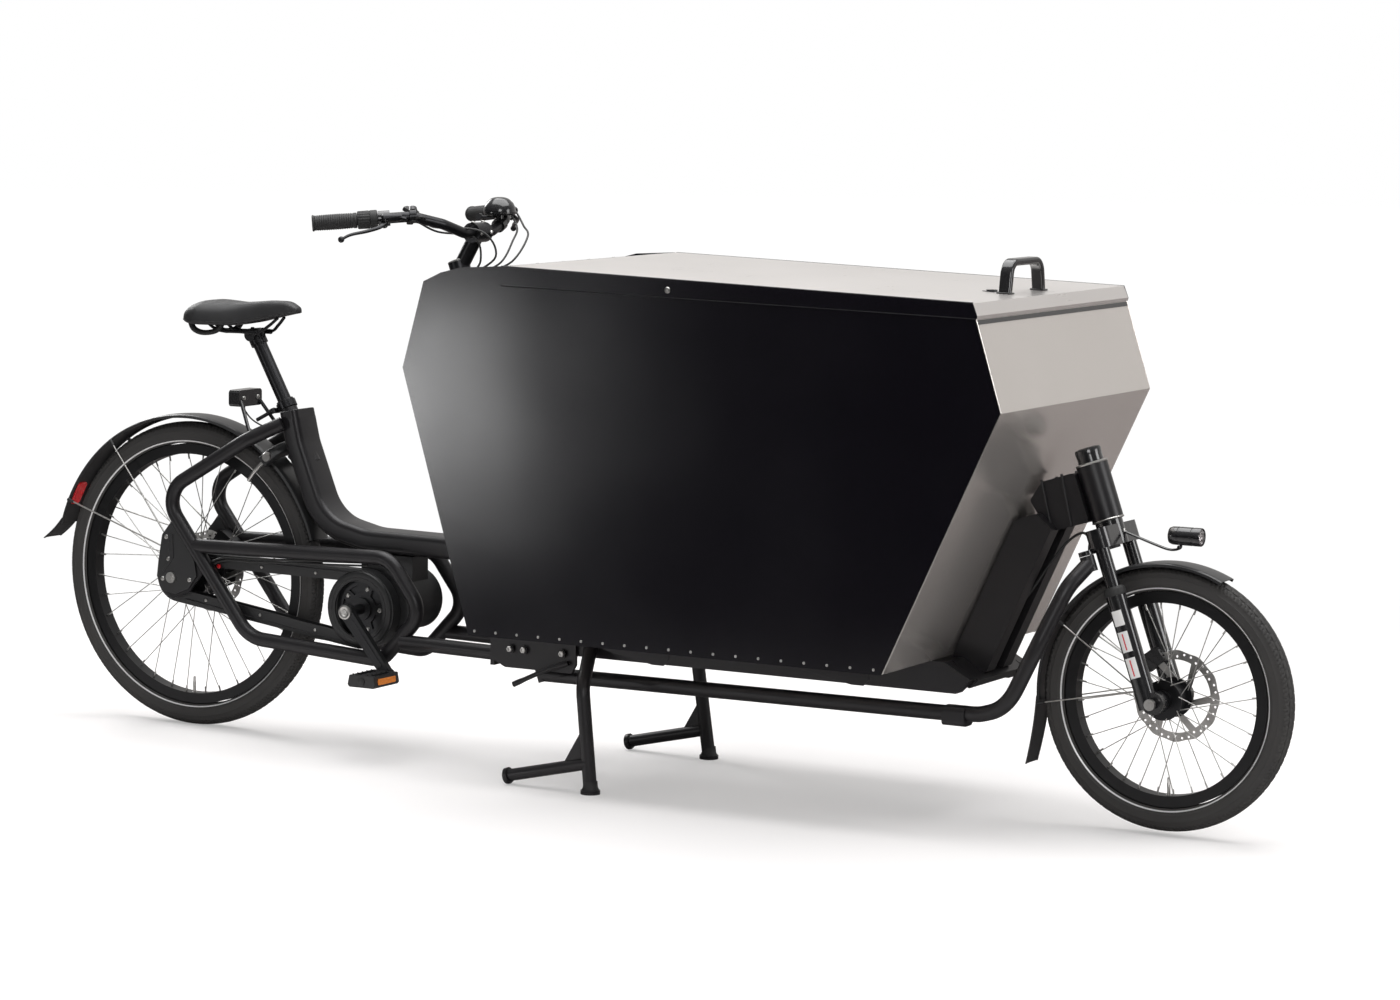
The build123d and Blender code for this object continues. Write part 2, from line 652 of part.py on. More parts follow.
hinge_x = box_rear_x - 5.0
hinge_z = lid_rear_z - 5.0
hinge_r = 3.5
hinge_half = box_half_w - 14.0
wall_top = lid_rear_z - 12.0
with BuildPart() as box_rear_wall:
    add(plate([(box_rear_x, box_floor_z), (box_rear_x, wall_top), (box_rear_x + sheet, wall_top),
               (box_rear_x + sheet, box_floor_z)], -panel_in, panel_in))
    add(disc(hinge_x, hinge_z, hinge_r, -hinge_half, hinge_half))
    add(plate([(hinge_x + 1.5, hinge_z - 30), (hinge_x + 1.5, hinge_z), (box_rear_x - 1.5, hinge_z),
               (box_rear_x, hinge_z - 9), (box_rear_x, hinge_z - 30)], -hinge_half, hinge_half))
save(box_rear_wall, "box_rear_wall")

with BuildPart() as box_front_panel:
    add(plate([(box_front_x - 3.0, box_floor_z - 1.0), (box_peak_x, box_peak_z), (lid_front_x + 8.0, lid_front_z - 26.0),
               (lid_front_x + 8.0 - sheet, lid_front_z - 26.0), (box_peak_x - sheet, box_peak_z),
               (box_front_x - 3.0 - sheet, box_floor_z - 1.0)], -box_half_w, box_half_w))
save(box_front_panel, "box_front_panel")

lid_outer_y = box_half_w + lid_gap + 1.5
rim_x = lid_front_x + 11.0
with BuildPart() as lid:
    add(plate([(box_rear_x + 2.5, lid_rear_z - lid_rim - 4), (box_rear_x + 2.5, lid_rear_z),
               (lid_front_x + 2, lid_front_z), (rim_x + 2, lid_front_z - 24), (rim_x, lid_front_z - lid_rim + 5)],
              -lid_outer_y, lid_outer_y))
    add(plate([(box_rear_x - 20, lid_rear_z - lid_rim - 40), (box_rear_x - 20, lid_rear_z - sheet),
               (lid_front_x, lid_front_z - sheet), (rim_x - 0.2, lid_front_z - 23), (rim_x + 60, lid_front_z - 90)],
              -lid_outer_y + 1.5, lid_outer_y - 1.5), mode=Mode.SUBTRACT)
    for hand in (-1, 1):
        low, high = sorted((hand * (box_half_w - 11.0), hand * lid_outer_y))
        add(disc(stud_x, stud_z, stud_r, low, high))
save(lid, "lid")

handle_x = lid_front_x - 60.0
handle_top = 60.0
lid_slope = (lid_front_z - lid_rear_z) / (lid_front_x - box_rear_x)
handle_foot_z = lid_rear_z + lid_slope * (handle_x - box_rear_x)
handle_line = [
    (handle_x, -76, handle_foot_z + 2.0), (handle_x, -66, handle_foot_z + handle_top),
    (handle_x, 66, handle_foot_z + handle_top), (handle_x, 76, handle_foot_z + 2.0),
]
with BuildPart() as lid_handle:
    with BuildLine() as bow:
        FilletPolyline(*handle_line, radius=[26.0, 26.0])
    with BuildSketch(Plane(origin=bow.line @ 0, x_dir=(1, 0, 0), z_dir=bow.line % 0)):
        RectangleRounded(26.0, 14.0, 5.0)
    sweep()
save(lid_handle, "lid_handle")

lock_x = lid_front_x - 103.0
lock_y = -46.0
lid_lock_z = lid_rear_z + lid_slope * (lock_x - box_rear_x)
with BuildPart() as lid_lock:
    with BuildSketch(Plane.XY.offset(lid_lock_z + 0.8)):
        with Locations((lock_x, lock_y)):
            Circle(11.0)
    extrude(amount=3.0)
save(lid_lock, "lid_lock")

# Gas struts: cylinders pivot on the side panels, rods reach the studs on the lid's rims.
strut_foot = Vector(strut_x, 0, strut_z)
strut_top = Vector(stud_x, 0, stud_z)
strut_dir = (strut_top - strut_foot).normalized()
strut_span = (strut_top - strut_foot).length
barrel_len = 300.0
barrel_r = 9.0
piston_r = 4.0
with BuildPart() as strut_cylinders:
    add(rod(strut_foot + side * strut_y + strut_dir * 12, strut_foot + side * strut_y + strut_dir * barrel_len,
            barrel_r))
    add(rod(strut_foot + side * strut_y + strut_dir * 60, strut_foot + side * strut_y + strut_dir * (barrel_len + 1),
            piston_r + fit_gap), mode=Mode.SUBTRACT)
    add(disc(strut_x, strut_z, 13.0, strut_y - 6, strut_y + 6, 5.0 + fit_gap))
    mirror(about=Plane.XZ)
save(strut_cylinders, "strut_cylinders")

with BuildPart() as strut_rods:
    add(rod(strut_foot + side * strut_y + strut_dir * 90, strut_foot + side * strut_y + strut_dir * (strut_span - 6),
            piston_r))
    add(disc(strut_top.X, strut_top.Z, 8.0, strut_y - 5, strut_y + 5))
    mirror(about=Plane.XZ)
save(strut_rods, "strut_rods")

# ---------------------------------------------------------------- steering
arm_thick = 9.0
arm_half_w = 12.0
eye_r = 14.0
shaft_low = 238.0
link_gap = 1.0
arm_turn = degrees(atan2(arm_back, arm_reach))
arm_len = hypot(arm_back, arm_reach)


def steering_arm(root):
    """An arm from a turning axis out to the right and back, its top face at the root."""
    arm_plane = Plane(origin=root - up * arm_thick, x_dir=(0, -1, 0), z_dir=up)
    with BuildPart() as made:
        with BuildSketch(arm_plane):
            with Locations(Location((0, 0, 0), (0, 0, -arm_turn))):
                with Locations((arm_len / 2, 0)):
                    Rectangle(arm_len, 2 * arm_half_w)
                with Locations((arm_len, 0)):
                    Circle(eye_r)
        extrude(amount=arm_thick)
    return made.part


with BuildPart() as steering_shaft:
    add(rod(on_column(shaft_low), on_column(column_top_z), shaft_r))
    add(rod(on_column(shaft_low) - up * arm_thick, on_column(shaft_low), 24.0))
    add(steering_arm(on_column(shaft_low)))
save(steering_shaft, "steering_shaft")

# The link hangs from both arms; its front half swings out and rises beside the wheel.
front_arm_along = 316.0
rear_pin = on_column(shaft_low, -arm_back, -arm_reach) - up * (arm_thick + link_gap)
front_pin = on_fork(front_arm_along, -arm_back, -arm_reach) - up * (arm_thick + link_gap)
link_path = [
    tuple(rear_pin - up * link_r), (front_x - 400, -138, link_z), (front_x - 326, -152, link_z + 6),
    (front_x - 262, -172, 246), (front_x - 204, -168, 366), (front_x - 160, -128, 484),
    tuple(front_pin - up * link_r),
]
block_x = front_x - 404
with BuildPart() as drag_link:
    add(bent(link_path, [150.0, 100.0, 90.0, 120.0, 90.0], link_r))
    add(rod(rear_pin - up * 2 * link_r, rear_pin, eye_r))
    add(rod(front_pin - up * 2 * link_r, front_pin, eye_r))
    with BuildSketch(Plane(origin=(block_x + 48, -143, link_z - 2), x_dir=(0, 1, 0), z_dir=(-1, 0, 0))):
        RectangleRounded(42.0, 38.0, 10.0)
    extrude(amount=48.0)
save(drag_link, "drag_link")

stem_foot = on_column(column_top_z)
clamp = Vector(*at(726.0, 0, 1107.0))
with BuildPart() as stem:
    add(rod(stem_foot, stem_foot + up * 34.0, column_r + 1.0))
    add(rod(stem_foot + up * 20.0, clamp, 16.0))
    add(disc(clamp.X, clamp.Z, bar_r + 10.0, -26.0, 26.0))
    add(disc(clamp.X, clamp.Z, bar_r + fit_gap, -27.0, 27.0), mode=Mode.SUBTRACT)
save(stem, "stem")

grip_len = 132.0
grip_dir = Vector(0.80, -0.58, 0.075).normalized()
grip_end = Vector(*at(517.0, grip_y, 1129.0))
right_grip_end = Vector(grip_end.X, -grip_end.Y, grip_end.Z)
right_grip_dir = Vector(grip_dir.X, -grip_dir.Y, grip_dir.Z)
bar_path = [
    tuple(grip_end + grip_dir * 2), tuple(grip_end + grip_dir * 205), at(716, 120, 1128), at(726, 52, clamp.Z),
    at(726, -52, clamp.Z), at(716, -120, 1128),
    tuple(right_grip_end + right_grip_dir * 205), tuple(right_grip_end + right_grip_dir * 2),
]
with BuildPart() as handlebar:
    add(bent(bar_path, [60.0, 40.0, 40.0, 40.0, 40.0, 60.0], bar_r))
save(handlebar, "handlebar")

short_grip = 92.0
with BuildPart() as grips:
    add(rod(grip_end, grip_end + grip_dir * grip_len, 17.0))
    add(rod(grip_end + grip_dir * 2, grip_end + grip_dir * (grip_len + 1), bar_r + fit_gap), mode=Mode.SUBTRACT)
    add(rod(right_grip_end, right_grip_end + right_grip_dir * short_grip, 17.0))
    add(rod(right_grip_end + right_grip_dir * 2, right_grip_end + right_grip_dir * (short_grip + 1),
            bar_r + fit_gap), mode=Mode.SUBTRACT)
save(grips, "grips")

shifter_start = right_grip_end + right_grip_dir * (short_grip + body_gap)
with BuildPart() as twist_shifter:
    add(rod(shifter_start, shifter_start + right_grip_dir * 42.0, 19.0, bar_r + fit_gap))
save(twist_shifter, "twist_shifter")


def bar_block(start, direction, length, radius):
    """A clamp round the handlebar."""
    return rod(start, start + direction * length, radius, bar_r + fit_gap)


right_perch = shifter_start + right_grip_dir * 43.0
left_perch = grip_end + grip_dir * (grip_len + 6.0)
lever_drop = Vector(0, 0, -1)
pivot_out = 34.0


def lever_pivot(perch, direction):
    """The lever's pivot, forward of the bar beside its clamp."""
    forward = direction.cross(Vector(0, 0, 1)).normalized()
    if forward.X < 0:
        forward = forward * -1
    return perch + direction * 12.0 + forward * pivot_out + lever_drop * 8.0, forward


right_pivot, right_forward = lever_pivot(right_perch, right_grip_dir)
left_pivot, left_forward = lever_pivot(left_perch, grip_dir)
bell_foot = Vector(*at(718.7, 96.0, 1120.0))
bell_side = Vector(-0.13, 0.94, 0.32).normalized()
with BuildPart() as bar_clamps:
    for perch, direction, pivot in ((right_perch, right_grip_dir, right_pivot), (left_perch, grip_dir, left_pivot)):
        add(bar_block(perch, direction, 24.0, 16.0))
        add(rod(perch + direction * 12.0 + lever_drop * 4.0 + (pivot - perch - direction * 12).normalized() * 13,
                pivot + lever_drop * 4.0, 7.0))
        add(rod(pivot + lever_drop * 6.0, pivot + lever_drop * -6.0, 8.0))
        add(rod(pivot + lever_drop * 5.4, pivot + lever_drop * -5.4, 15.0), mode=Mode.SUBTRACT)
        add(rod(pivot + lever_drop * 9.0, pivot + lever_drop * -9.0, 3.0))
    add(rod(bell_foot + Vector(0, 0, 12), bell_foot + Vector(0, 0, 24), 8.0))
    add(rod(bell_foot - bell_side * 9, bell_foot + bell_side * 9, 15.0, bar_r + fit_gap))
    with BuildSketch(Plane(origin=bell_foot + Vector(0, 0, 24), x_dir=(1, 0, 0), z_dir=(0, -1, 0))):
        with BuildLine():
            Line((0, 0), (30, 0))
            Line((30, 0), (30, 8))
            Spline((30, 8), (24, 26), (0, 34))
            Line((0, 34), (0, 0))
        make_face()
    revolve(axis=Axis(bell_foot, (0, 0, 1)))
save(bar_clamps, "bar_clamps")


def brake_lever(pivot, direction, forward):
    """A two-finger lever that runs out beside its grip."""
    eye = pivot + lever_drop * 5.0
    elbow = pivot - direction * 34.0 + forward * 12.0
    tip = pivot - direction * 112.0 + forward * 2.0 + lever_drop * 8.0
    with BuildPart() as made:
        add(rod(eye, pivot + lever_drop * -5.0, 7.0))
        add(bent([tuple(pivot), tuple(elbow), tuple(tip)], [18.0], 4.5))
        with BuildSketch(Plane(origin=tip - direction * 5, z_dir=direction)):
            Circle(6.5)
        extrude(amount=10.0)
        add(rod(pivot + lever_drop * 9.0, pivot + lever_drop * -9.0, 3.0 + fit_gap), mode=Mode.SUBTRACT)
    return made


save(brake_lever(right_pivot, right_grip_dir, right_forward), "right_brake_lever")
save(brake_lever(left_pivot, grip_dir, left_forward), "left_brake_lever")

# ---------------------------------------------------------------- fork
crown_low = 312.0
crown_high = 351.0
steerer_top = 506.0
stanchion_foot = 150.0
bore_foot = stanchion_foot - fork_travel - 4.0
crown_plane = Plane(origin=on_fork(crown_low), x_dir=(0, 1, 0), z_dir=up)
with BuildPart() as fork_upper:
    add(rod(on_fork(crown_low), on_fork(steerer_top), shaft_r + 2.0))
    add(rod(on_fork(head_high + body_gap), on_fork(steerer_top), 25.0))
    add(rod(on_fork(crown_low), on_fork(head_low - body_gap), 27.0))
    with BuildSketch(crown_plane):
        RectangleRounded(2 * (fork_leg_y + 19.0), 46.0, 20.0)
    extrude(amount=crown_high - crown_low)
    for hand in (-1, 1):
        leg = hand * fork_leg_y
        add(rod(on_fork(stanchion_foot, 0, leg), on_fork(crown_high, 0, leg), stanchion_r))
    add(steering_arm(on_fork(front_arm_along)))
    add(rod(on_fork(crown_low, -4), on_fork(crown_low + 6, -4), 30.0))
save(fork_upper, "fork_upper")

lower_top = 232.0
with BuildPart() as fork_lower:
    for hand in (-1, 1):
        leg = hand * fork_leg_y
        add(rod(on_fork(-6.0, 0, leg), on_fork(lower_top, 0, leg), lower_r))
        add(disc(front_x, front_z, 22.0, leg - 12, leg + 12))
        add(rod(on_fork(bore_foot, 0, leg), on_fork(lower_top + 1, 0, leg), stanchion_r + fit_gap),
            mode=Mode.SUBTRACT)
    add(disc(front_x, front_z, axle_r + fit_gap, -fork_leg_y - 30, fork_leg_y + 30), mode=Mode.SUBTRACT)
    pad_dir = Vector(cos(radians(128.0)), 0, sin(radians(128.0)))
    pad = Vector(front_x, front_disc_y, front_z) + pad_dir * (front_disc_r - 6.0)
    with BuildSketch(Plane(origin=pad + side * 11.0, x_dir=pad_dir, z_dir=(0, -1, 0))):
        RectangleRounded(34.0, 50.0, 8.0)
    extrude(amount=20.0)
    add(disc(front_x, front_z, front_disc_r + 3.0, front_disc_y - 3.0, front_disc_y + 3.0), mode=Mode.SUBTRACT)
    add(rod(pad + side * 8 + pad_dir * 8, pad + side * (fork_leg_y - front_disc_y) + pad_dir * 8 + ahead * 34, 7.0))
save(fork_lower, "fork_lower")

lamp_x = front_x + 28.0
lamp_z = 583.0
lamp_r = 18.0
with BuildPart() as headlight:
    with BuildSketch(Plane(origin=(lamp_x - 34, 0, lamp_z), z_dir=(1, 0, 0))):
        Circle(lamp_r)
    extrude(amount=68.0)
    add(rod((lamp_x - 8, 0, lamp_z - 8), on_fork(crown_low + 16, 20), 4.0))
save(headlight, "headlight")

# ---------------------------------------------------------------- stand
knee_x = rear_x + 1133.0
knee_z = 214.0
knee_y = stand_y - 9.0
shoulder_y = 150.0
pedal_x = rear_x + 962.0
foot_r = 20.0
with BuildPart() as kickstand:
    add(rod((stand_x, -shoulder_y, stand_pivot_z), (stand_x, shoulder_y, stand_pivot_z), stand_tube_r))
    for hand in (-1, 1):
        add(bent([(stand_x, hand * (shoulder_y - 4), stand_pivot_z), (knee_x, hand * knee_y, knee_z),
                  (foot_x, hand * stand_y, 6.0)], [40.0], 14.0))
        add(rod((foot_x, hand * stand_y, 0), (foot_x, hand * stand_y, 8.0), foot_r))
        add(rod((foot_x - 4, hand * stand_y, 62.0), (pedal_x, hand * stand_y, 18.0), 12.5))
        add(rod((pedal_x + 6, hand * stand_y, 20.0), (pedal_x - 2, hand * stand_y, 17.5), 16.0))
        add(plate([(foot_x - 70, 44), (foot_x - 14, 140), (foot_x - 4, 60)], hand * stand_y - 3, hand * stand_y + 3))
save(kickstand, "kickstand")

# ---------------------------------------------------------------- seat
clamp_high = 163.0
post_top = collar + seat_dir * clamp_high
with BuildPart() as seat_post:
    add(rod(collar - seat_dir * 130.0, post_top - seat_dir * 26.0, post_r))
    add(rod(post_top - seat_dir * 28.0, post_top - seat_dir * 6.0, 19.0))
    add(disc(post_top.X, post_top.Z - 4.0, 14.0, -20.0, 20.0))
save(seat_post, "seat_post")

cam_pin = clamp_bolt - side * (bolt_half + 8.0)
cam_r = 6.5
with BuildPart() as seat_clamp:
    add(rod(cam_pin - seat_dir * 5.0, cam_pin + seat_dir * 5.0, cam_r))
    add(rod(cam_pin, cam_pin - side * 4.0 + seat_back * 44.0, 4.0))
save(seat_clamp, "seat_clamp")

rail_height = post_top.Z + 2.0
saddle_x = rear_x + 4.0
saddle_len = 272.0
saddle_half = 86.0
nose_half = 22.0
plan = [
    (saddle_x, 0), (saddle_x + 6, saddle_half * 0.72), (saddle_x + 48, saddle_half), (saddle_x + 110, saddle_half * 0.66),
    (saddle_x + 165, nose_half * 1.35), (saddle_x + 235, nose_half), (saddle_x + saddle_len, nose_half * 0.35),
]
profile = [
    (saddle_x - 2, 904), (saddle_x + 4, 930), (saddle_x + 40, 942), (saddle_x + 120, 938), (saddle_x + 200, 946),
    (saddle_x + 255, 946), (saddle_x + saddle_len + 2, 930), (saddle_x + saddle_len, 916), (saddle_x + 200, 896),
    (saddle_x + 100, 884), (saddle_x + 30, 884),
]
with BuildPart() as saddle:
    with BuildSketch(Plane.XY.offset(840.0)):
        with BuildLine():
            Polyline(*plan, *[(x, -y) for x, y in reversed(plan[1:])], close=True)
        make_face()
    extrude(amount=140.0)
    with BuildSketch(Plane.XZ):
        with BuildLine():
            Polyline(*profile, close=True)
        make_face()
    extrude(amount=2 * saddle_half, both=True, mode=Mode.INTERSECT)
    for hand in (-1, 1):
        add(bent([(saddle_x + 44, hand * 34, 892), (saddle_x + 80, hand * 25, rail_height),
                  (saddle_x + 178, hand * 25, rail_height), (saddle_x + 216, hand * 12, 906)], [16.0, 24.0], 3.5))
save(saddle, "saddle")

# ---------------------------------------------------------------- bell lever and cables
thumb_pivot = bell_foot + Vector(-14, 0, 14)
with BuildPart() as bell_lever:
    add(rod(thumb_pivot, thumb_pivot + Vector(0, 0, 6), 4.5))
    add(rod(thumb_pivot, thumb_pivot + Vector(-34, 0, 1), 3.0))
    add(rod(thumb_pivot + Vector(-36, -4, 1), thumb_pivot + Vector(-36, 4, 1), 7.0))
save(bell_lever, "bell_lever")

cable_r = 2.5
column_side = on_column(960.0, -column_r - 6.0)
cable_routes = []
for perch, direction, hand in ((right_perch, right_grip_dir, -1), (left_perch, grip_dir, 1)):
    leave = perch + direction * 36.0 + lever_drop * 18.0
    cable_routes.append([
        tuple(leave), at(708, hand * 108, 1096), at(738, hand * 44, 1072), at(722, hand * 34, 1026),
        (column_side.X + 6, hand * 28, 992), (column_side.X + 14, hand * 27, 950),
    ])
with BuildPart() as control_cables:
    for route in cable_routes:
        add(bent(route, cord_bends(route), cable_r))
save(control_cables, "control_cables")
for route in cable_routes:
    print("cable arcs", [round(radius) for radius in cord_bends(route)])
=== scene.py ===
import json
from math import cos, pi, radians, sin

import bmesh
import bpy
import numpy as np
from mathutils import Matrix, Vector


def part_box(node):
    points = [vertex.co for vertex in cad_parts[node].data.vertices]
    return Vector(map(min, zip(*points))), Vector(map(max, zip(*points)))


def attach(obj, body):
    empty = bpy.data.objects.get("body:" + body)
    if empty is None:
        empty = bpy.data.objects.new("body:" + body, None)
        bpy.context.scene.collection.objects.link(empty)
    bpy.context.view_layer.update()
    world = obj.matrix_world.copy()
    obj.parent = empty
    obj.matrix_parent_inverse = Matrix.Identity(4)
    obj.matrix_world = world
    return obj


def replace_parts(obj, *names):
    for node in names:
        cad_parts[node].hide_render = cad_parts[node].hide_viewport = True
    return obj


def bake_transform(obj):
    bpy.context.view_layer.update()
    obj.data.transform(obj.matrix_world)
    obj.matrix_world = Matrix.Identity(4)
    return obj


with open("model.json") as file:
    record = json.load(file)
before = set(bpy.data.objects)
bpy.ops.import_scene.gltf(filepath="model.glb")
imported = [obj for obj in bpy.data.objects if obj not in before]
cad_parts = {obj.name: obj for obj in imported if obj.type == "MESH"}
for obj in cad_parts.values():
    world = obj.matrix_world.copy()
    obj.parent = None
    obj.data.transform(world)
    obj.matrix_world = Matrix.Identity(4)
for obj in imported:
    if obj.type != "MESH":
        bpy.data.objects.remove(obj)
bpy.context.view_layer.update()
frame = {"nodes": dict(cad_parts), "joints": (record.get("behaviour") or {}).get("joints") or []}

# ---------------------------------------------------------------- studio
# A wide pale floor under an overhead softbox, with a tall softbox low behind the rider's right,
# whose soft reflection lies across the rear end of the black side panel. The walls are dark.
scene = bpy.context.scene
MM = 0.001


class Flow:
    """A value that runs through a node tree, so that shader maths reads as arithmetic."""

    def __init__(self, recipe, socket):
        self.recipe = recipe
        self.socket = socket

    def math(self, operation, first, second):
        return self.recipe.node("ShaderNodeMath", {"operation": operation}, {0: first, 1: second})

    def __add__(self, other):
        return self.math("ADD", self, other)

    def __radd__(self, other):
        return self.math("ADD", other, self)

    def __sub__(self, other):
        return self.math("SUBTRACT", self, other)

    def __rsub__(self, other):
        return self.math("SUBTRACT", other, self)

    def __mul__(self, other):
        return self.math("MULTIPLY", self, other)

    def __rmul__(self, other):
        return self.math("MULTIPLY", other, self)

    def __truediv__(self, other):
        return self.math("DIVIDE", self, other)

    def __pow__(self, other):
        return self.math("POWER", self, other)

    def __gt__(self, other):
        return self.math("GREATER_THAN", self, other)

    def __lt__(self, other):
        return self.math("LESS_THAN", self, other)


class Recipe:
    """The nodes of one material or of the studio's surroundings."""

    def __init__(self, owner):
        owner.use_nodes = True
        self.owner = owner
        self.tree = owner.node_tree
        self.tree.nodes.clear()

    def node(self, kind, settings=None, inputs=None, output=0):
        """Any node: its settings go first, then the values or links of its sockets."""
        made = self.tree.nodes.new(kind)
        for name, value in (settings or {}).items():
            if name == "stops":
                ramp = made.color_ramp.elements
                while len(ramp) < len(value):
                    ramp.new(1.0)
                for stop, (place, shade) in zip(ramp, value):
                    stop.position = place
                    stop.color = (shade, shade, shade, 1.0)
            else:
                setattr(made, name, value)
        for name, value in (inputs or {}).items():
            if isinstance(value, Flow):
                self.tree.links.new(value.socket, made.inputs[name])
            else:
                made.inputs[name].default_value = value
        return Flow(self, made.outputs[output]) if made.outputs else None

    def place(self):
        """Position in the bicycle's own frame, in metres."""
        return self.node("ShaderNodeTexCoord", output="Object")

    def along(self, way):
        """X, Y or Z of the position."""
        return self.node("ShaderNodeSeparateXYZ", inputs={0: self.place()}, output=way)

    def noise(self, scale, detail=3.0, stretch=None):
        """Cloudy noise about 0.5; stretch scales the position first, for brushed or grained looks."""
        spot = self.place()
        if stretch:
            spot = self.node("ShaderNodeVectorMath", {"operation": "MULTIPLY"}, {0: spot, 1: stretch})
        return self.node("ShaderNodeTexNoise", inputs={"Vector": spot, "Scale": scale, "Detail": detail})

    def mix(self, share, colour_a, colour_b):
        """A colour between two colours."""
        return self.node("ShaderNodeMix", {"data_type": "RGBA"}, {0: share, 6: colour_a, 7: colour_b}, 2)

    def ramp(self, value, *stops):
        return self.node("ShaderNodeValToRGB", {"stops": stops}, {0: value})

    def bump(self, height, depth):
        """A surface normal that rises with height; depth is in metres."""
        return self.node("ShaderNodeBump", inputs={"Height": height, "Distance": depth})

    def surface(self, **inputs):
        """The finished surface; inputs are named as on the Principled shader, with _ for spaces."""
        named = {name.replace("_", " "): value for name, value in inputs.items()}
        shader = self.node("ShaderNodeBsdfPrincipled", inputs=named)
        self.node("ShaderNodeOutputMaterial", inputs={"Surface": shader})
        return self.owner


def tone(red, green=None, blue=None):
    """A colour with full alpha; one number is a grey."""
    return (red, red if green is None else green, red if blue is None else blue, 1.0)


def material(name):
    """A new material's nodes."""
    return Recipe(bpy.data.materials.new(name))


surroundings = Recipe(bpy.data.worlds.new("dark_studio"))
scene.world = surroundings.owner
spread_out = surroundings.node("ShaderNodeTexCoord", output="Generated")
height = surroundings.node("ShaderNodeSeparateXYZ", inputs={0: spread_out}, output="Z")
depth = surroundings.node("ShaderNodeSeparateXYZ", inputs={0: spread_out}, output="Y")
ceiling = surroundings.ramp(height, (0.0, 0.01), (0.12, 0.03), (0.50, 0.26), (1.0, 0.62))
backdrop = surroundings.ramp(depth, (0.0, 0.0), (0.25, 0.05), (0.70, 0.60), (1.0, 0.70))
seen = surroundings.node("ShaderNodeLightPath", output="Is Camera Ray")
behind = surroundings.mix(backdrop, ceiling, tone(0.82, 0.80, 0.78))
glow = surroundings.mix(seen, behind, tone(1.0))
surroundings.node("ShaderNodeOutputWorld", inputs={
    "Surface": surroundings.node("ShaderNodeBackground", inputs={"Color": glow, "Strength": 1.0})})

floor_mesh = bpy.data.meshes.new("floor")
floor_radii = (2.0, 5.0, 30.0)
floor_corners = [(r * cos(a * pi / 24), r * sin(a * pi / 24), 0.0) for r in floor_radii for a in range(48)]
floor_faces = [tuple(range(48))]
for ring in (0, 48):
    for a in range(48):
        floor_faces.append((ring + a, ring + 48 + a, ring + 48 + (a + 1) % 48, ring + (a + 1) % 48))
floor_mesh.from_pydata(floor_corners, [], floor_faces)
floor = bpy.data.objects.new("floor", floor_mesh)
scene.collection.objects.link(floor)
paper = material("floor_paper")
reach = paper.node("ShaderNodeVectorMath", {"operation": "LENGTH"}, {0: paper.place()}, "Value")
mirrored = paper.node("ShaderNodeLightPath", output="Is Glossy Ray")
direct = paper.node("ShaderNodeLightPath", output="Is Camera Ray")
ahead_of = paper.ramp(paper.along("Y") * -0.2 + 0.4, (0.35, 0.0), (0.60, 1.0))
lit_paper = paper.node("ShaderNodeBsdfDiffuse", inputs={"Color": tone(0.92, 0.895, 0.89)})
# Flat white emission that the camera sees on the floor: far out the floor glows evenly white.
white_glow = paper.node("ShaderNodeEmission", inputs={"Color": tone(1.0, 0.998, 0.995), "Strength": 1.02})
# Painted shade in reflections: glossy rays that reach the floor from the bike's middle to its far side see this flat
# mid grey in place of the lit floor.
shade_glow = paper.node("ShaderNodeEmission", inputs={"Color": tone(0.27, 0.245, 0.24), "Strength": 1.0})
behind_it = paper.ramp(paper.along("Y") * 0.2 + 0.4, (0.38, 0.0), (0.52, 1.0))
# Painted dark reflection: near-black emission that glossy rays see on the floor under the bike and far out on the
# camera side.
painted_dark_reflection = paper.node("ShaderNodeEmission", inputs={"Color": tone(0.02), "Strength": 1.0})
# Painted fill light: within about 1.7 m of the middle, a third of the white glow is mixed into the lit floor, which
# lightens the bike's shadow.
near_paper = paper.node("ShaderNodeMixShader", inputs={
    0: paper.ramp(reach / 10.0, (0.17, 0.32), (0.34, 1.0)) * direct, 1: lit_paper, 2: white_glow})
# Painted shade, seen only in reflections, on the floor behind the bike.
near_paper = paper.node("ShaderNodeMixShader", inputs={0: mirrored * behind_it, 1: near_paper, 2: shade_glow})
# Painted shade under the bike, seen only in reflections.
beneath = paper.ramp(paper.along("Y") * 0.2 + 0.4, (0.35, 0.0), (0.41, 0.85), (0.52, 0.85), (0.70, 0.0))
near_paper = paper.node("ShaderNodeMixShader", inputs={0: mirrored * beneath, 1: near_paper, 2: painted_dark_reflection})
# Far out on the camera side, glossy rays see the painted dark reflection.
paper.node("ShaderNodeOutputMaterial", inputs={"Surface": paper.node("ShaderNodeMixShader", inputs={
    0: paper.ramp(reach / 5.0, (0.10, 0.12), (0.50, 1.0)) * mirrored * ahead_of, 1: near_paper, 2: painted_dark_reflection})})
floor_mesh.materials.append(paper.owner)


def softbox(name, centre, target, width, depth, power):
    """A rectangular soft light that faces its target."""
    lamp = bpy.data.lights.new(name, "AREA")
    lamp.shape = "RECTANGLE"
    lamp.size = width
    lamp.size_y = depth
    lamp.energy = power
    holder = bpy.data.objects.new(name, lamp)
    holder.location = centre
    holder.rotation_euler = (Vector(target) - Vector(centre)).to_track_quat("-Z", "Y").to_euler()
    scene.collection.objects.link(holder)


softbox("overhead_light", (0.2, 0.2, 3.6), (0.2, 0.0, 0.0), 4.4, 3.2, 170.0)
softbox("camera_fill", (3.4, -5.0, 2.6), (0.4, 0.0, 0.5), 2.4, 1.6, 70.0)
softbox("rear_strip", (-2.66, -3.9, 0.40), (-0.3, 0.0, 0.7), 0.45, 0.60, 10.0)
softbox("front_light", (4.6, 0.6, 1.6), (1.0, 0.0, 0.6), 1.6, 1.8, 45.0)
softbox("rear_rim_light", (-3.6, 1.6, 2.4), (-1.0, 0.0, 0.5), 1.2, 1.6, 45.0)

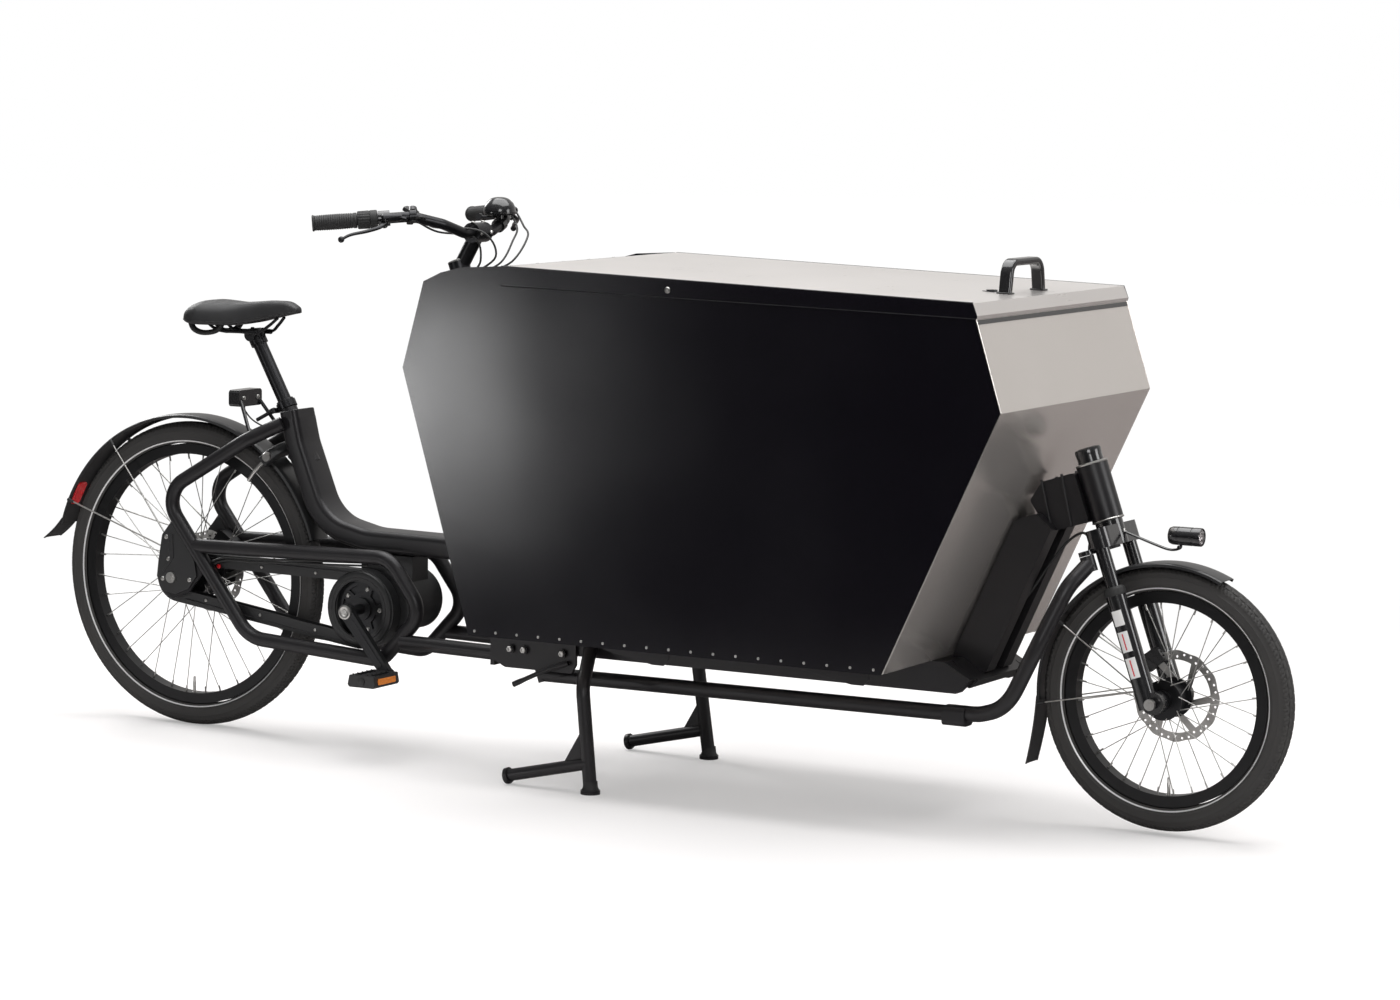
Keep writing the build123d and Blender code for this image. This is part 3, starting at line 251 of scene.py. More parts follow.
view_from = Vector((4.290, -7.296, 1.532))
view_to = Vector((0.1854, 0.0, 0.581))
view_roll = radians(0.76)
forward = (view_to - view_from).normalized()
level = forward.cross(Vector((0, 0, 1))).normalized()
upright = level.cross(forward)
tilted = level * cos(view_roll) + upright * sin(view_roll)
standing = upright * cos(view_roll) - level * sin(view_roll)
camera = bpy.data.objects.new("camera", bpy.data.cameras.new("camera"))
camera.data.sensor_width = 36.0
camera.data.lens = 106.27
camera.matrix_world = Matrix.Translation(view_from) @ Matrix((tilted, standing, -forward)).transposed().to_4x4()
scene.collection.objects.link(camera)
scene.camera = camera
scene.view_settings.view_transform = "Standard"
scene.view_settings.look = "None"

# ---------------------------------------------------------------- frame
# Welded steel tubes in satin black powder coat. The coat has a fine orange-peel grain.
def paint(name, dark, light, rough, grain, depth, **more):
    """A coated surface: cloudy colour, uneven gloss and a fine raised grain."""
    coat = material(name)
    cloud = coat.noise(7.0)
    speck = coat.noise(grain, 2.0)
    return coat.surface(Base_Color=coat.mix(cloud, tone(*dark), tone(*light)),
                        Roughness=rough + (cloud - 0.5) * 0.22 + (speck - 0.5) * 0.08,
                        Normal=coat.bump(speck, depth), **more)


def dress(skin, *nodes):
    """Gives CAD nodes a finish in place of their plain one."""
    for node in nodes:
        slots = frame["nodes"][node].data.materials
        slots.clear()
        slots.append(skin)


satin_black = paint("satin_black_coat", (0.010, 0.0095, 0.011), (0.017, 0.0155, 0.017), 0.38, 900.0, 0.00006,
                    Metallic=0.25, Specular_IOR_Level=0.5)
dress(satin_black, "main_tube", "column_tube", "rear_frame", "bottom_rails", "front_tray", "front_beams",
      "head_tube", "kickstand", "drag_link")

# ---------------------------------------------------------------- tyres
# Wide city tyres in soft black rubber, moulded in a heated die: a centre rib, two rows of slanted
# blocks, shoulder lugs, thin rings on the side walls and a narrow band that reflects light.
def middle(node):
    """The centre of a CAD node's box."""
    low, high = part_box(node)
    return (Vector(low) + Vector(high)) / 2


def across(way):
    """Two directions square to an axis and to each other."""
    way = Vector(way).normalized()
    spare = Vector((0, 0, 1)) if abs(way.z) < 0.9 else Vector((1, 0, 0))
    first = way.cross(spare).normalized()
    return first, way.cross(first).normalized()


class Stock:
    """Points and faces of a piece while it is being made, in metres."""

    def __init__(self):
        self.points = []
        self.faces = []

    def grid(self, rows, ring=False, loop=False):
        """Rows of points joined by faces; ring closes each row, loop joins the last row to the first."""
        first = len(self.points)
        wide = len(rows[0])
        for row in rows:
            self.points.extend(tuple(point) for point in row)
        for i in range(len(rows) if loop else len(rows) - 1):
            for j in range(wide if ring else wide - 1):
                near, far = first + i * wide, first + (i + 1) % len(rows) * wide
                self.faces.append((near + j, near + (j + 1) % wide, far + (j + 1) % wide, far + j))
        return self

    def closed(self, rows):
        """Rings of points joined one to the next, with a face over each end."""
        first, size = len(self.points), len(rows[0])
        self.grid(rows, ring=True)
        self.faces.append(tuple(range(first, first + size)))
        self.faces.append(tuple(reversed(range(len(self.points) - size, len(self.points)))))
        return self

    def turned(self, profile, centre, axis, steps=48, start=0.0, sweep=360.0, ring=False):
        """A profile of (along, radius) pairs, in millimetres, turned round an axis."""
        axis = Vector(axis).normalized()
        first, second = across(axis)
        full = sweep >= 360.0
        rows = []
        for step in range(steps if full else steps + 1):
            angle = radians(start + sweep * step / steps)
            out = first * cos(angle) + second * sin(angle)
            rows.append([Vector(centre) + axis * along * MM + out * radius * MM for along, radius in profile])
        return self.grid(rows, ring=ring, loop=full)

    def tube(self, route, radius, sides=12, flat=1.0):
        """A bar along a route, radius in millimetres, one or one for each point; flat squashes it."""
        route = [Vector(point) for point in route]
        radii = radius if isinstance(radius, list) else [radius] * len(route)
        way = (route[1] - route[0]).normalized()
        first, _ = across(way)
        rows = []
        for i, point in enumerate(route):
            way = (route[min(i + 1, len(route) - 1)] - route[max(i - 1, 0)]).normalized()
            first = (first - way * first.dot(way)).normalized()
            second = way.cross(first)
            rows.append([point + (first * cos(a) + second * sin(a) * flat) * radii[i] * MM
                         for a in np.linspace(0, 2 * pi, sides, endpoint=False)])
        return self.closed(rows)

    def slab(self, outline, centre, right, rise, thick):
        """A flat plate: its outline in millimetres along right and rise, thickness towards the viewer."""
        right, rise = Vector(right).normalized(), Vector(rise).normalized()
        depth = right.cross(rise)
        face = [Vector(centre) + (right * u + rise * v) * MM for u, v in outline]
        return self.closed([face, [point + depth * thick * MM for point in face]])

    def bolt(self, centre, axis, radius, tall=3.0):
        """A button-head screw with a hexagon socket."""
        head = [(0.0, radius), (tall * 0.35, radius), (tall * 0.8, radius * 0.82), (tall, radius * 0.52),
                (tall * 0.45, radius * 0.46), (tall * 0.45, 0.01)]
        return self.turned(head, centre, axis, 18)

    def make(self, name, skin, body, slot, edge=0.0, crease=32.0):
        """The finished piece, with edge the width of its rounded edges in millimetres."""
        mesh = bpy.data.meshes.new(name)
        mesh.from_pydata(self.points, [], self.faces)
        whole = bmesh.new()
        whole.from_mesh(mesh)
        bmesh.ops.remove_doubles(whole, verts=whole.verts, dist=2e-6)
        bmesh.ops.recalc_face_normals(whole, faces=whole.faces)
        whole.to_mesh(mesh)
        whole.free()
        return place(name, mesh, skin, body, slot, edge, crease)


def place(name, mesh, skin, body, slot, edge=0.0, crease=32.0):
    """Puts a mesh in the scene as a piece of the bicycle; with no body it is left unattached."""
    mesh.materials.clear()
    mesh.materials.append(skin)
    mesh.shade_smooth()
    mesh.set_sharp_from_angle(angle=radians(crease))
    piece = bpy.data.objects.new(name, mesh)
    scene.collection.objects.link(piece)
    if edge:
        bevel = piece.modifiers.new("edges", "BEVEL")
        bevel.width = edge * MM
        bevel.segments = 2
        bevel.limit_method = "ANGLE"
        bevel.angle_limit = radians(40)
        bevel.harden_normals = True
    if body:
        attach(piece, body)
    return piece


def tyre_rubber():
    """Matt rubber with fine pores, a little dusty."""
    skin = material("tyre_rubber")
    dust = skin.noise(14.0)
    pores = skin.noise(1400.0, 2.0)
    return skin.surface(Base_Color=skin.mix(dust, tone(0.022, 0.021, 0.021), tone(0.040, 0.038, 0.036)),
                        Roughness=0.58 + dust * 0.22, Normal=skin.bump(pores, 0.00008))


def reflective_band():
    """A woven pale band that shines back."""
    skin = material("reflective_band")
    weave = skin.noise(500.0, 1.0)
    return skin.surface(Base_Color=skin.mix(weave, tone(0.55), tone(0.80)), Roughness=0.35 + weave * 0.1,
                        Metallic=0.4)


tyre_skin = tyre_rubber()
band_skin = reflective_band()
SECTION_R = 27.5
TREAD_DEPTH = 2.2


def tread(phase, angle):
    """Share of the tread's depth at a place in the pattern; angle is from the crown, in degrees."""
    side = abs(angle)
    turn = (phase + side * 0.013 + (0.5 if angle < 0 else 0.0)) % 1.0
    if side < 7.0:
        return 1.0 if 0.15 < turn < 1.0 or side < 3.0 else 0.3
    if side < 10.0 or 29.0 < side < 32.0:
        return 0.1
    if side < 29.0:
        return 1.0 if 0.16 < turn < 0.98 else 0.15
    if side < 55.0:
        return 1.0 if (turn * 2) % 1.0 > 0.28 else 0.12
    return max(0.0, (60.0 - side) / 8.0)


def make_tyre(wheel, pitches):
    """A tyre with its tread moulded in, and the pale band on each wall."""
    low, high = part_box(f"{wheel}_tyre")
    centre = middle(f"{wheel}_tyre")
    core_r = (high[2] - low[2]) / 2 / MM - SECTION_R
    angles = list(np.arange(-60, 61, 3.0))
    walls = [70, 74, 76, 78, 90, 104, 106, 108, 118, 128, 139]
    angles = [-a for a in reversed(walls)] + angles + walls
    ridges = (76, 106)
    steps = pitches * 7
    rows = []
    for step in range(steps):
        turn = 2 * pi * step / steps
        row = []
        for angle in angles:
            lift = tread(step / 7 % 1.0, angle) * TREAD_DEPTH + (0.5 if abs(angle) in ridges else 0.0)
            reach = SECTION_R - TREAD_DEPTH + lift
            radius = (core_r + reach * cos(radians(angle))) * MM
            row.append(centre + Vector((cos(turn) * radius, reach * sin(radians(angle)) * MM, sin(turn) * radius)))
        rows.append(row)
    tyre = Stock().grid(rows, loop=True).make(f"{wheel}_tyre_tread", tyre_skin, f"{wheel}_wheel", "tyre_rubber",
                                              crease=50.0)
    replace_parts(tyre, f"{wheel}_tyre")
    bands = Stock()
    for hand in (-1, 1):
        arc = [radians(a) for a in (120.0, 122.0, 125.0, 127.0)]
        outer = [(hand * (SECTION_R - 1.8) * sin(a), core_r + (SECTION_R - 1.8) * cos(a)) for a in arc]
        bands.turned(outer, centre, (0, 1, 0), 160)
    bands.make(f"{wheel}_tyre_band", band_skin, f"{wheel}_wheel", "tyre_rubber")


make_tyre("rear", 112)
make_tyre("front", 86)

# ---------------------------------------------------------------- wheels
# Deep black anodised rims laced with stainless spokes and brass-cored nipples, sealed hubs, and
# wavy stainless brake discs cut by laser, each with vents between six swept arms.
rim_skin = paint("black_anodised", (0.012, 0.012, 0.013), (0.020, 0.020, 0.021), 0.36, 1500.0, 0.00002,
                 Metallic=0.6)
dress(rim_skin, "rear_rim", "front_rim")


def brushed_steel(name, shade, rough, stretch):
    """Bare metal with fine brushed lines; stretch lays them along a direction."""
    skin = material(name)
    lines = skin.noise(260.0, 4.0, stretch)
    return skin.surface(Base_Color=skin.mix(lines, tone(*[0.72 * c for c in shade]), tone(*shade)),
                        Roughness=rough + lines * 0.2, Metallic=1.0, Normal=skin.bump(lines, 0.00002))


steel = brushed_steel("stainless_steel", (0.62, 0.61, 0.59), 0.22, (1.0, 8.0, 1.0))
satin_alloy = paint("black_alloy", (0.018, 0.018, 0.020), (0.030, 0.030, 0.032), 0.30, 700.0, 0.00003,
                    Metallic=0.7)
dress(steel, "rear_spokes", "front_spokes", "rear_axle", "front_axle", "rear_sprocket", "drive_chain",
      "ring_lock_hook", "strut_rods")
dress(satin_alloy, "rear_hub", "front_hub", "rear_caliper", "strut_cylinders")


def cut_sheet(name, outlines, centre, right, rise, thick):
    """A sheet cut to its outlines, the first round it and the rest holes, in millimetres."""
    line = bpy.data.curves.new(name, "CURVE")
    line.dimensions = "2D"
    line.fill_mode = "BOTH"
    line.extrude = thick / 2 * MM
    for outline in outlines:
        spline = line.splines.new("POLY")
        spline.points.add(len(outline) - 1)
        spline.points.foreach_set("co", [c for u, v in outline for c in (u * MM, v * MM, 0.0, 1.0)])
        spline.use_cyclic_u = True
    holder = bpy.data.objects.new(name, line)
    right, rise = Vector(right).normalized(), Vector(rise).normalized()
    turn = Matrix((right, rise, right.cross(rise))).transposed().to_4x4()
    mesh = bpy.data.meshes.new_from_object(holder)
    mesh.transform(Matrix.Translation(centre) @ turn)
    bpy.data.objects.remove(holder)
    return mesh


def circle(radius, steps=12, u=0.0, v=0.0, wave=0.0, waves=12):
    """An outline round a point; wave makes it wavy."""
    turns = [2 * pi * step / steps for step in range(steps)]
    return [(u + (radius + wave * cos(waves * a)) * cos(a), v + (radius + wave * cos(waves * a)) * sin(a))
            for a in turns]


def bolt_circle(centre, radius, y, count, start=0.0):
    """Evenly spaced places on an upright circle, its radius in millimetres, from the angle start."""
    turns = [2 * pi * step / count + start for step in range(count)]
    return [Vector((centre.x + radius * MM * cos(a), y, centre.z + radius * MM * sin(a))) for a in turns]


def rotor(wheel):
    """A brake disc: a wavy rim with six swept windows and three dozen vents."""
    centre = middle(f"{wheel}_disc")
    outlines = [circle(88.6, 240, wave=1.3), circle(21.0, 32)]
    for arm in range(6):
        start = arm * pi / 3
        window = []
        for step in range(9):
            a = start + 0.10 + step / 8 * 0.84
            window.append((71.5 * cos(a), 71.5 * sin(a)))
        for step in range(7):
            a = start + 0.94 - 0.40 - step / 6 * 0.66
            window.append((36.0 * cos(a), 36.0 * sin(a)))
        outlines.append(window)
    for vent in range(36):
        a = 2 * pi * vent / 36
        reach = 82.5 if vent % 3 else 77.5
        outlines.append(circle(2.6, 10, reach * cos(a), reach * sin(a)))
    mesh = cut_sheet(f"{wheel}_rotor", outlines, centre, (1, 0, 0), (0, 0, 1), 1.9)
    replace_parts(place(f"{wheel}_rotor", mesh, rotor_steel, f"{wheel}_wheel", "steel"), f"{wheel}_disc")
    rivets = Stock()
    for spot in bolt_circle(centre, 27, centre.y - 0.9 * MM, 6, 0.3):
        rivets.bolt(spot, (0, -1, 0), 4.2, 2.6)
    rivets.make(f"{wheel}_disc_bolts", satin_alloy, f"{wheel}_wheel", "steel")


rotor_steel = brushed_steel("rotor_steel", (0.60, 0.585, 0.57), 0.28, (3.0, 1.0, 3.0))
rotor("rear")
rotor("front")
for wheel, spokes in (("rear", 36), ("front", 32)):
    centre = middle(f"{wheel}_tyre")
    rim_low, rim_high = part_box(f"{wheel}_rim")
    rim_inner = (rim_high[2] - rim_low[2]) / 2 / MM - 22.0
    nipples = Stock()
    for count in range(spokes):
        a = 2 * pi * (count + 0.5) / spokes
        out = Vector((cos(a), 0, sin(a)))
        hand = 1 if count % 2 else -1
        foot = centre + out * (rim_inner - 12.5) * MM + Vector((0, hand * 4.4 * MM, 0))
        nipples.tube([foot, foot + out * 12.7 * MM - Vector((0, hand * 0.4 * MM, 0))], [1.7, 2.1], 8)
    nipples.make(f"{wheel}_nipples", steel, f"{wheel}_wheel", "steel")
    valve_deg = radians(-88.0 if wheel == "front" else -91.0)
    out = Vector((cos(valve_deg), 0, sin(valve_deg)))
    stem_foot = centre + out * (rim_inner + 1.0) * MM
    valve = Stock().turned([(0, 5.5), (1.5, 5.5), (2.0, 3.2), (24, 3.2), (25, 2.6), (34, 2.6), (36, 1.4), (36, 0.01)],
                           stem_foot, -out, 16)
    valve.make(f"{wheel}_valve", steel, f"{wheel}_wheel", "steel")
    rings = Stock()
    for hand in (-1, 1):
        face_y = hand * (30.0 if wheel == "rear" else 26.0)
        rings.turned([(face_y - 2.6, 30.0), (face_y - 2.6, 24.0), (face_y + 2.6, 24.0), (face_y + 2.6, 30.0)],
                     centre, (0, 1, 0), 48)
    rings.make(f"{wheel}_hub_seals", satin_alloy, f"{wheel}_wheel", "black_alloy")

# ---------------------------------------------------------------- frame joints
# The main tube is closed by a pressed cap at the saddle end and held in a darker cast clamp at
# the column. Tubes meet in ground weld beads; a bolted cover plate carries each rear axle.
cast_black = paint("cast_clamp", (0.010, 0.010, 0.011), (0.016, 0.016, 0.017), 0.50, 350.0, 0.00018,
                   Metallic=0.3)
dull_black = paint("moulded_black", (0.014, 0.014, 0.015), (0.022, 0.022, 0.023), 0.46, 1100.0, 0.00005)
rear = middle("rear_tyre")
front = middle("front_tyre")
clamp_x = rear.x + 0.851 - 0.060


def level_with(spot, y):
    """A place moved sideways to y."""
    return Vector((spot.x, y, spot.z))


def rim_line(half_u, half_v, corner, steps=5):
    """The outline of a rectangle with round corners."""
    line = []
    for quarter, (su, sv) in enumerate(((1, 1), (-1, 1), (-1, -1), (1, -1))):
        for step in range(steps):
            a = (quarter + step / (steps - 1)) * pi / 2
            line.append((su * (half_u - corner) + corner * cos(a), sv * (half_v - corner) + corner * sin(a)))
    return line


tube_z = 439.0 * MM
clamp_rows = []
for dx, grow in ((-68, 0.4), (-64, 2.4), (-34, 2.8), (-30, 1.2), (-26, 2.8), (2, 2.8), (6, 0.4)):
    ring = rim_line(40.0 + grow, 22.5 + grow, 12.0 + grow)
    spot = Vector((clamp_x + dx * MM, 0, tube_z))
    clamp_rows.append([spot + Vector((0, u * MM, v * MM)) for u, v in ring])
Stock().grid(clamp_rows, ring=True).make("column_clamp", cast_black, "frame", "frame_paint", crease=40.0)
clamp_bolts = Stock()
for dx in (-56, -14):
    clamp_bolts.bolt(Vector((clamp_x + dx * MM, -42.6 * MM, tube_z)), (0, -1, 0), 5.0)
clamp_bolts.make("column_clamp_bolts", steel, "frame", "steel")

cap_spot = Vector((rear.x + 0.268, 0, 0.708))
cap_out = Vector((-0.216, 0, 0.976)).normalized()
cap_side = Vector((0.976, 0, 0.216)).normalized()
cap_rows = [[cap_spot + cap_out * tall * MM + Vector((0, u * MM, 0)) + cap_side * v * MM
             for u, v in rim_line(38.5 + grow, 21.0 + grow, 11.0)]
            for tall, grow in ((-1.0, 0.8), (0.5, 0.8), (1.6, -0.6), (1.8, -4.0), (1.2, -8.0))]
Stock().grid(cap_rows, ring=True).make("seat_tube_cap", dull_black, "frame", "frame_paint")


def rounded(route, steps=6):
    """A smooth line through every point of a route."""
    route = [Vector(point) for point in route]
    ends = [2 * route[0] - route[1]] + route + [2 * route[-1] - route[-2]]
    line = []
    for a, b, c, d in zip(ends, ends[1:], ends[2:], ends[3:]):
        for step in range(steps):
            t = step / steps
            line.append(0.5 * (2 * b + (c - a) * t + (2 * a - 5 * b + 4 * c - d) * t ** 2
                               + (3 * b - a - 3 * c + d) * t ** 3))
    return line + [route[-1]]


def weld(route, width=3.2):
    """A stacked weld bead along a route."""
    line = rounded(route, 10)
    gaps = [(b - a).length for a, b in zip(line, line[1:])]
    total = sum(gaps)
    count = max(8, int(total / (2.0 * MM)))
    places = np.interp(np.linspace(0, total, count), [0] + list(np.cumsum(gaps)), range(len(line)))
    beads = []
    for place_on in places:
        i = min(int(place_on), len(line) - 2)
        beads.append(line[i].lerp(line[i + 1], place_on - i))
    radii = [width * (0.82 + 0.18 * (n % 2)) for n in range(len(beads))]
    return Stock().tube(beads, radii, 8)


SIDES = ((-1, "right"), (1, "left"))
for count, (dx, low_z, high_z) in enumerate(((-0.238, 0.583, 0.676), (-0.196, 0.589, 0.690))):
    for hand, side in SIDES:
        edge_line = [Vector((front.x + dx - 0.006 * k, hand * 0.0345, low_z + (high_z - low_z) * k / 4))
                     for k in range(5)]
        weld(edge_line).make(f"gusset_weld_{count}_{side}", satin_black, "frame", "frame_paint")

COVER_OUTLINE = [(-36, 34), (-26, 92), (-2, 122), (14, 116), (60, 42), (66, 8), (44, -22), (8, -36), (-22, -30),
                 (-40, 0)]
COVER_RIB = [(-20, 10), (6, 44), (4, 96), (0, 96), (-4, 44), (-24, 14)]
for hand, side in SIDES:
    face_y = hand * 85.6 * MM
    cover = Stock()
    for outline, thick in ((COVER_OUTLINE, 4.0), (COVER_RIB, 6.0)):
        turned_round = [(-hand * u, v) for u, v in outline]
        if hand > 0:
            turned_round.reverse()
        cover.slab(turned_round, level_with(rear, face_y), (-hand, 0, 0), (0, 0, 1), thick)
    cover.make(f"axle_cover_{side}", dull_black, "frame", "black_plastic", edge=1.2)
    screws = Stock()
    for u, v in ((-14, 88), (-8, 40), (48, -2), (-24, -4)):
        screws.bolt(Vector((rear.x + u * MM, hand * 89.4 * MM, rear.z + v * MM)), (0, hand, 0), 5.0, 2.6)
    screws.make(f"axle_cover_screws_{side}", steel, "frame", "steel")

# ---------------------------------------------------------------- drive
# A mid motor in a cast housing with a round cover, a spider that carries the chainwheel, forged
# cranks, platform pedals with amber reflectors, and a two-part moulded chain case.
dress(dull_black, "motor_unit", "chain_case", "battery_pack", "right_pedal", "left_pedal")
forged = paint("forged_alloy", (0.020, 0.020, 0.022), (0.034, 0.034, 0.036), 0.34, 500.0, 0.00003, Metallic=0.6)
dress(forged, "crankset")


def joint(name):
    """The record of one of the bicycle's joints."""
    return [j for j in frame["joints"] if j["name"] == name][0]


crank = Vector(joint("crank_spin")["pos_m"])
case_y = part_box("chain_case")[0][1]


def arc_line(radius, start, end, steps):
    """Points on an arc about the origin, its ends in degrees."""
    turns = [radians(start + (end - start) * step / steps) for step in range(steps + 1)]
    return [(radius * cos(a), radius * sin(a)) for a in turns]


cover_rings = Stock()
cover_rings.turned([(0.0, 82.0), (4.0, 80.0), (6.0, 76.0), (6.0, 70.0), (3.5, 67.0), (3.5, 62.0), (0.0, 61.0)],
                   level_with(crank, case_y), (0, -1, 0), 96)
cover_rings.make("chain_case_rim", dull_black, "frame", "black_plastic")
windows = [circle(57.5, 96), circle(20.0, 32)]
for count in range(5):
    start = 72 * count + 14
    windows.append(arc_line(50.0, start, start + 46, 10) + arc_line(34.0, start + 40, start + 6, 8))
spider = cut_sheet("chainwheel_spider", windows, level_with(crank, -54.0 * MM), (1, 0, 0), (0, 0, 1), 3.6)
place("chainwheel_spider", spider, forged, "crank", "black_alloy", edge=0.7)
wheel_bolts = Stock()
for spot in bolt_circle(crank, 45, -55.8 * MM, 5):
    wheel_bolts.bolt(spot, (0, -1, 0), 5.4, 3.2)
wheel_bolts.make("chainwheel_bolts", steel, "crank", "steel")
motor_face = Stock().turned([(0.0, 56.0), (5.0, 55.0), (6.0, 50.0), (3.0, 47.0), (3.0, 40.0), (7.0, 37.0), (8.0, 26.0),
                             (8.0, 14.0)], level_with(crank, -36.0 * MM), (0, -1, 0), 72)
for spot in bolt_circle(crank, 43.5, -39.0 * MM, 8, radians(10)):
    motor_face.bolt(spot, (0, -1, 0), 3.4, 2.4)
motor_face.make("motor_cover", dull_black, "frame", "black_plastic")
far_cover = Stock().turned([(0.0, 78.0), (5.0, 76.0), (8.0, 68.0), (8.0, 40.0), (11.0, 34.0), (11.0, 16.0)],
                           level_with(crank, 60.0 * MM), (0, 1, 0), 72)
for spot in bolt_circle(crank, 58, 68 * MM, 6):
    far_cover.bolt(spot, (0, 1, 0), 4.0, 2.4)
far_cover.make("motor_far_cover", dull_black, "frame", "black_plastic")

arm_angle = radians(-50.0)
arm_way = Vector((cos(arm_angle), 0, sin(arm_angle)))
ARM_LENGTH, ARM_FACE = 0.165, 114.0 + 7.2
for hand, side in SIDES:
    face = hand * ARM_FACE * MM
    low, high = (24.0, 140.0) if hand < 0 else (-140.0, -24.0)
    rib = [(low, -6.5), (high, -5.0), (high + 4, 0), (high, 5.0), (low, 6.5), (low - 4, 0)]
    rise = arm_way.cross(Vector((0, -hand, 0)))
    Stock().slab(rib, level_with(crank, face), arm_way, rise, 1.6).make(
        f"{side}_crank_rib", forged, "crank", "black_alloy", edge=0.8)
    cap = Stock().turned([(0, 15.5), (2.6, 15.0), (3.4, 12.0), (2.2, 9.5), (2.2, 6.0), (3.4, 5.4), (3.4, 0.01)],
                         level_with(crank, face), (0, hand, 0), 32)
    cap.turned([(0, 8.5), (1.6, 8.0), (1.6, 4.4), (0.4, 4.0), (0.4, 0.01)],
               level_with(crank - arm_way * hand * ARM_LENGTH, face), (0, hand, 0), 6)
    cap.make(f"{side}_crank_caps", steel, "crank", "steel")


def lens(name, colour, glint):
    """Clear moulded plastic over a honeycomb of small prisms, with a faint painted glow in its own colour that stands
    in for the light it throws back.
    """
    skin = material(name)
    cells = skin.node("ShaderNodeTexVoronoi", {"feature": "DISTANCE_TO_EDGE"},
                      {"Vector": skin.place(), "Scale": 330.0})
    facets = skin.ramp(cells, (0.0, 0.45), (0.12, 1.0))
    return skin.surface(Base_Color=skin.mix(facets, tone(*[0.35 * c for c in colour]), tone(*colour)),
                        Roughness=0.16 + (1 - facets) * 0.2, Coat_Weight=0.8, Emission_Color=tone(*colour),
                        Emission_Strength=glint, Normal=skin.bump(cells, 0.0003))


# The amber and red lenses glow faintly: painted light, not a lamp.
amber = lens("amber_reflector", (0.85, 0.25, 0.03), 0.12)
red_lens = lens("red_reflector", (0.62, 0.015, 0.02), 0.10)
for hand, side in SIDES:
    low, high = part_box(f"{side}_pedal")
    spot = middle(f"{side}_pedal")
    body = f"pedal_{side[0]}"
    glints = Stock()
    studs = Stock()
    for end in (-1, 1):
        glints.slab(rim_line(32.0, 6.5, 2.0, 3), spot + Vector((end * 32.4 * MM, 0, 0)), (0, end, 0), (0, 0, 1), 2.2)
        for row in range(5):
            y = low[1] + (high[1] - low[1]) * (row + 0.7) / 5.4
            for u in (8.0, 28.0):
                studs.turned([(0, 1.9), (1.6, 1.7), (2.0, 0.9), (2.0, 0.01)],
                             Vector((spot.x + end * u * MM, y, high[2] - 0.0002)), (0, 0, 1), 8)
    glints.make(f"{side}_pedal_reflectors", amber, body, "black_plastic", edge=0.5)
    studs.make(f"{side}_pedal_studs", dull_black, body, "black_plastic")
    cap = Stock().turned([(0, 9.0), (2.0, 8.6), (3.0, 6.5), (3.0, 0.01)],
                         level_with(spot, low[1] if hand < 0 else high[1]), (0, hand, 0), 20)
    cap.make(f"{side}_pedal_cap", dull_black, body, "black_plastic")

case_line = Stock()
seam_y = case_y - 0.0002
top_run = [Vector((rear.x + 0.030, seam_y, rear.z + 0.0485)), Vector((crank.x - 0.02, seam_y, crank.z + 0.0775))]
low_run = [Vector((rear.x + 0.022, seam_y, rear.z - 0.0485)), Vector((crank.x - 0.02, seam_y, crank.z - 0.0775))]
for run in (top_run, low_run):
    case_line.tube(run, 2.2, 8, flat=0.5)
case_line.make("chain_case_seam", dull_black, "frame", "black_plastic")
case_screws = Stock()
for share in (0.12, 0.45, 0.78):
    for run, inward in ((top_run, -9.0), (low_run, 9.0)):
        spot = run[0].lerp(run[1], share)
        case_screws.bolt(spot + Vector((0, 0, inward * MM)), (0, -1, 0), 3.6, 2.0)
case_screws.make("chain_case_screws", steel, "frame", "steel")
plug = Stock().turned([(0, 5.0), (2.0, 4.6), (2.8, 3.0), (2.8, 0.01)],
                      Vector((rear.x + 0.109, case_y, rear.z + 0.030)), (0, -1, 0), 20)
plug.make("chain_case_plug", red_lens, "frame", "black_plastic")

cable_skin = paint("cable_jacket", (0.012, 0.012, 0.012), (0.020, 0.020, 0.020), 0.42, 600.0, 0.00002)
gear_cable = Stock()
for drop in (0.0, 6.5):
    run = [Vector((rear.x + dx, y, z - drop * MM)) for dx, y, z in (
        (0.062, -0.078, 0.352), (0.095, -0.080, 0.372), (0.140, -0.083, 0.388), (0.220, -0.084, 0.3905),
        (0.330, -0.084, 0.396), (0.430, -0.083, 0.400), (0.500, -0.070, 0.402))]
    gear_cable.tube(rounded(run, 6), 2.4, 10)
gear_cable.make("gear_cables", cable_skin, "frame", "grip_rubber")

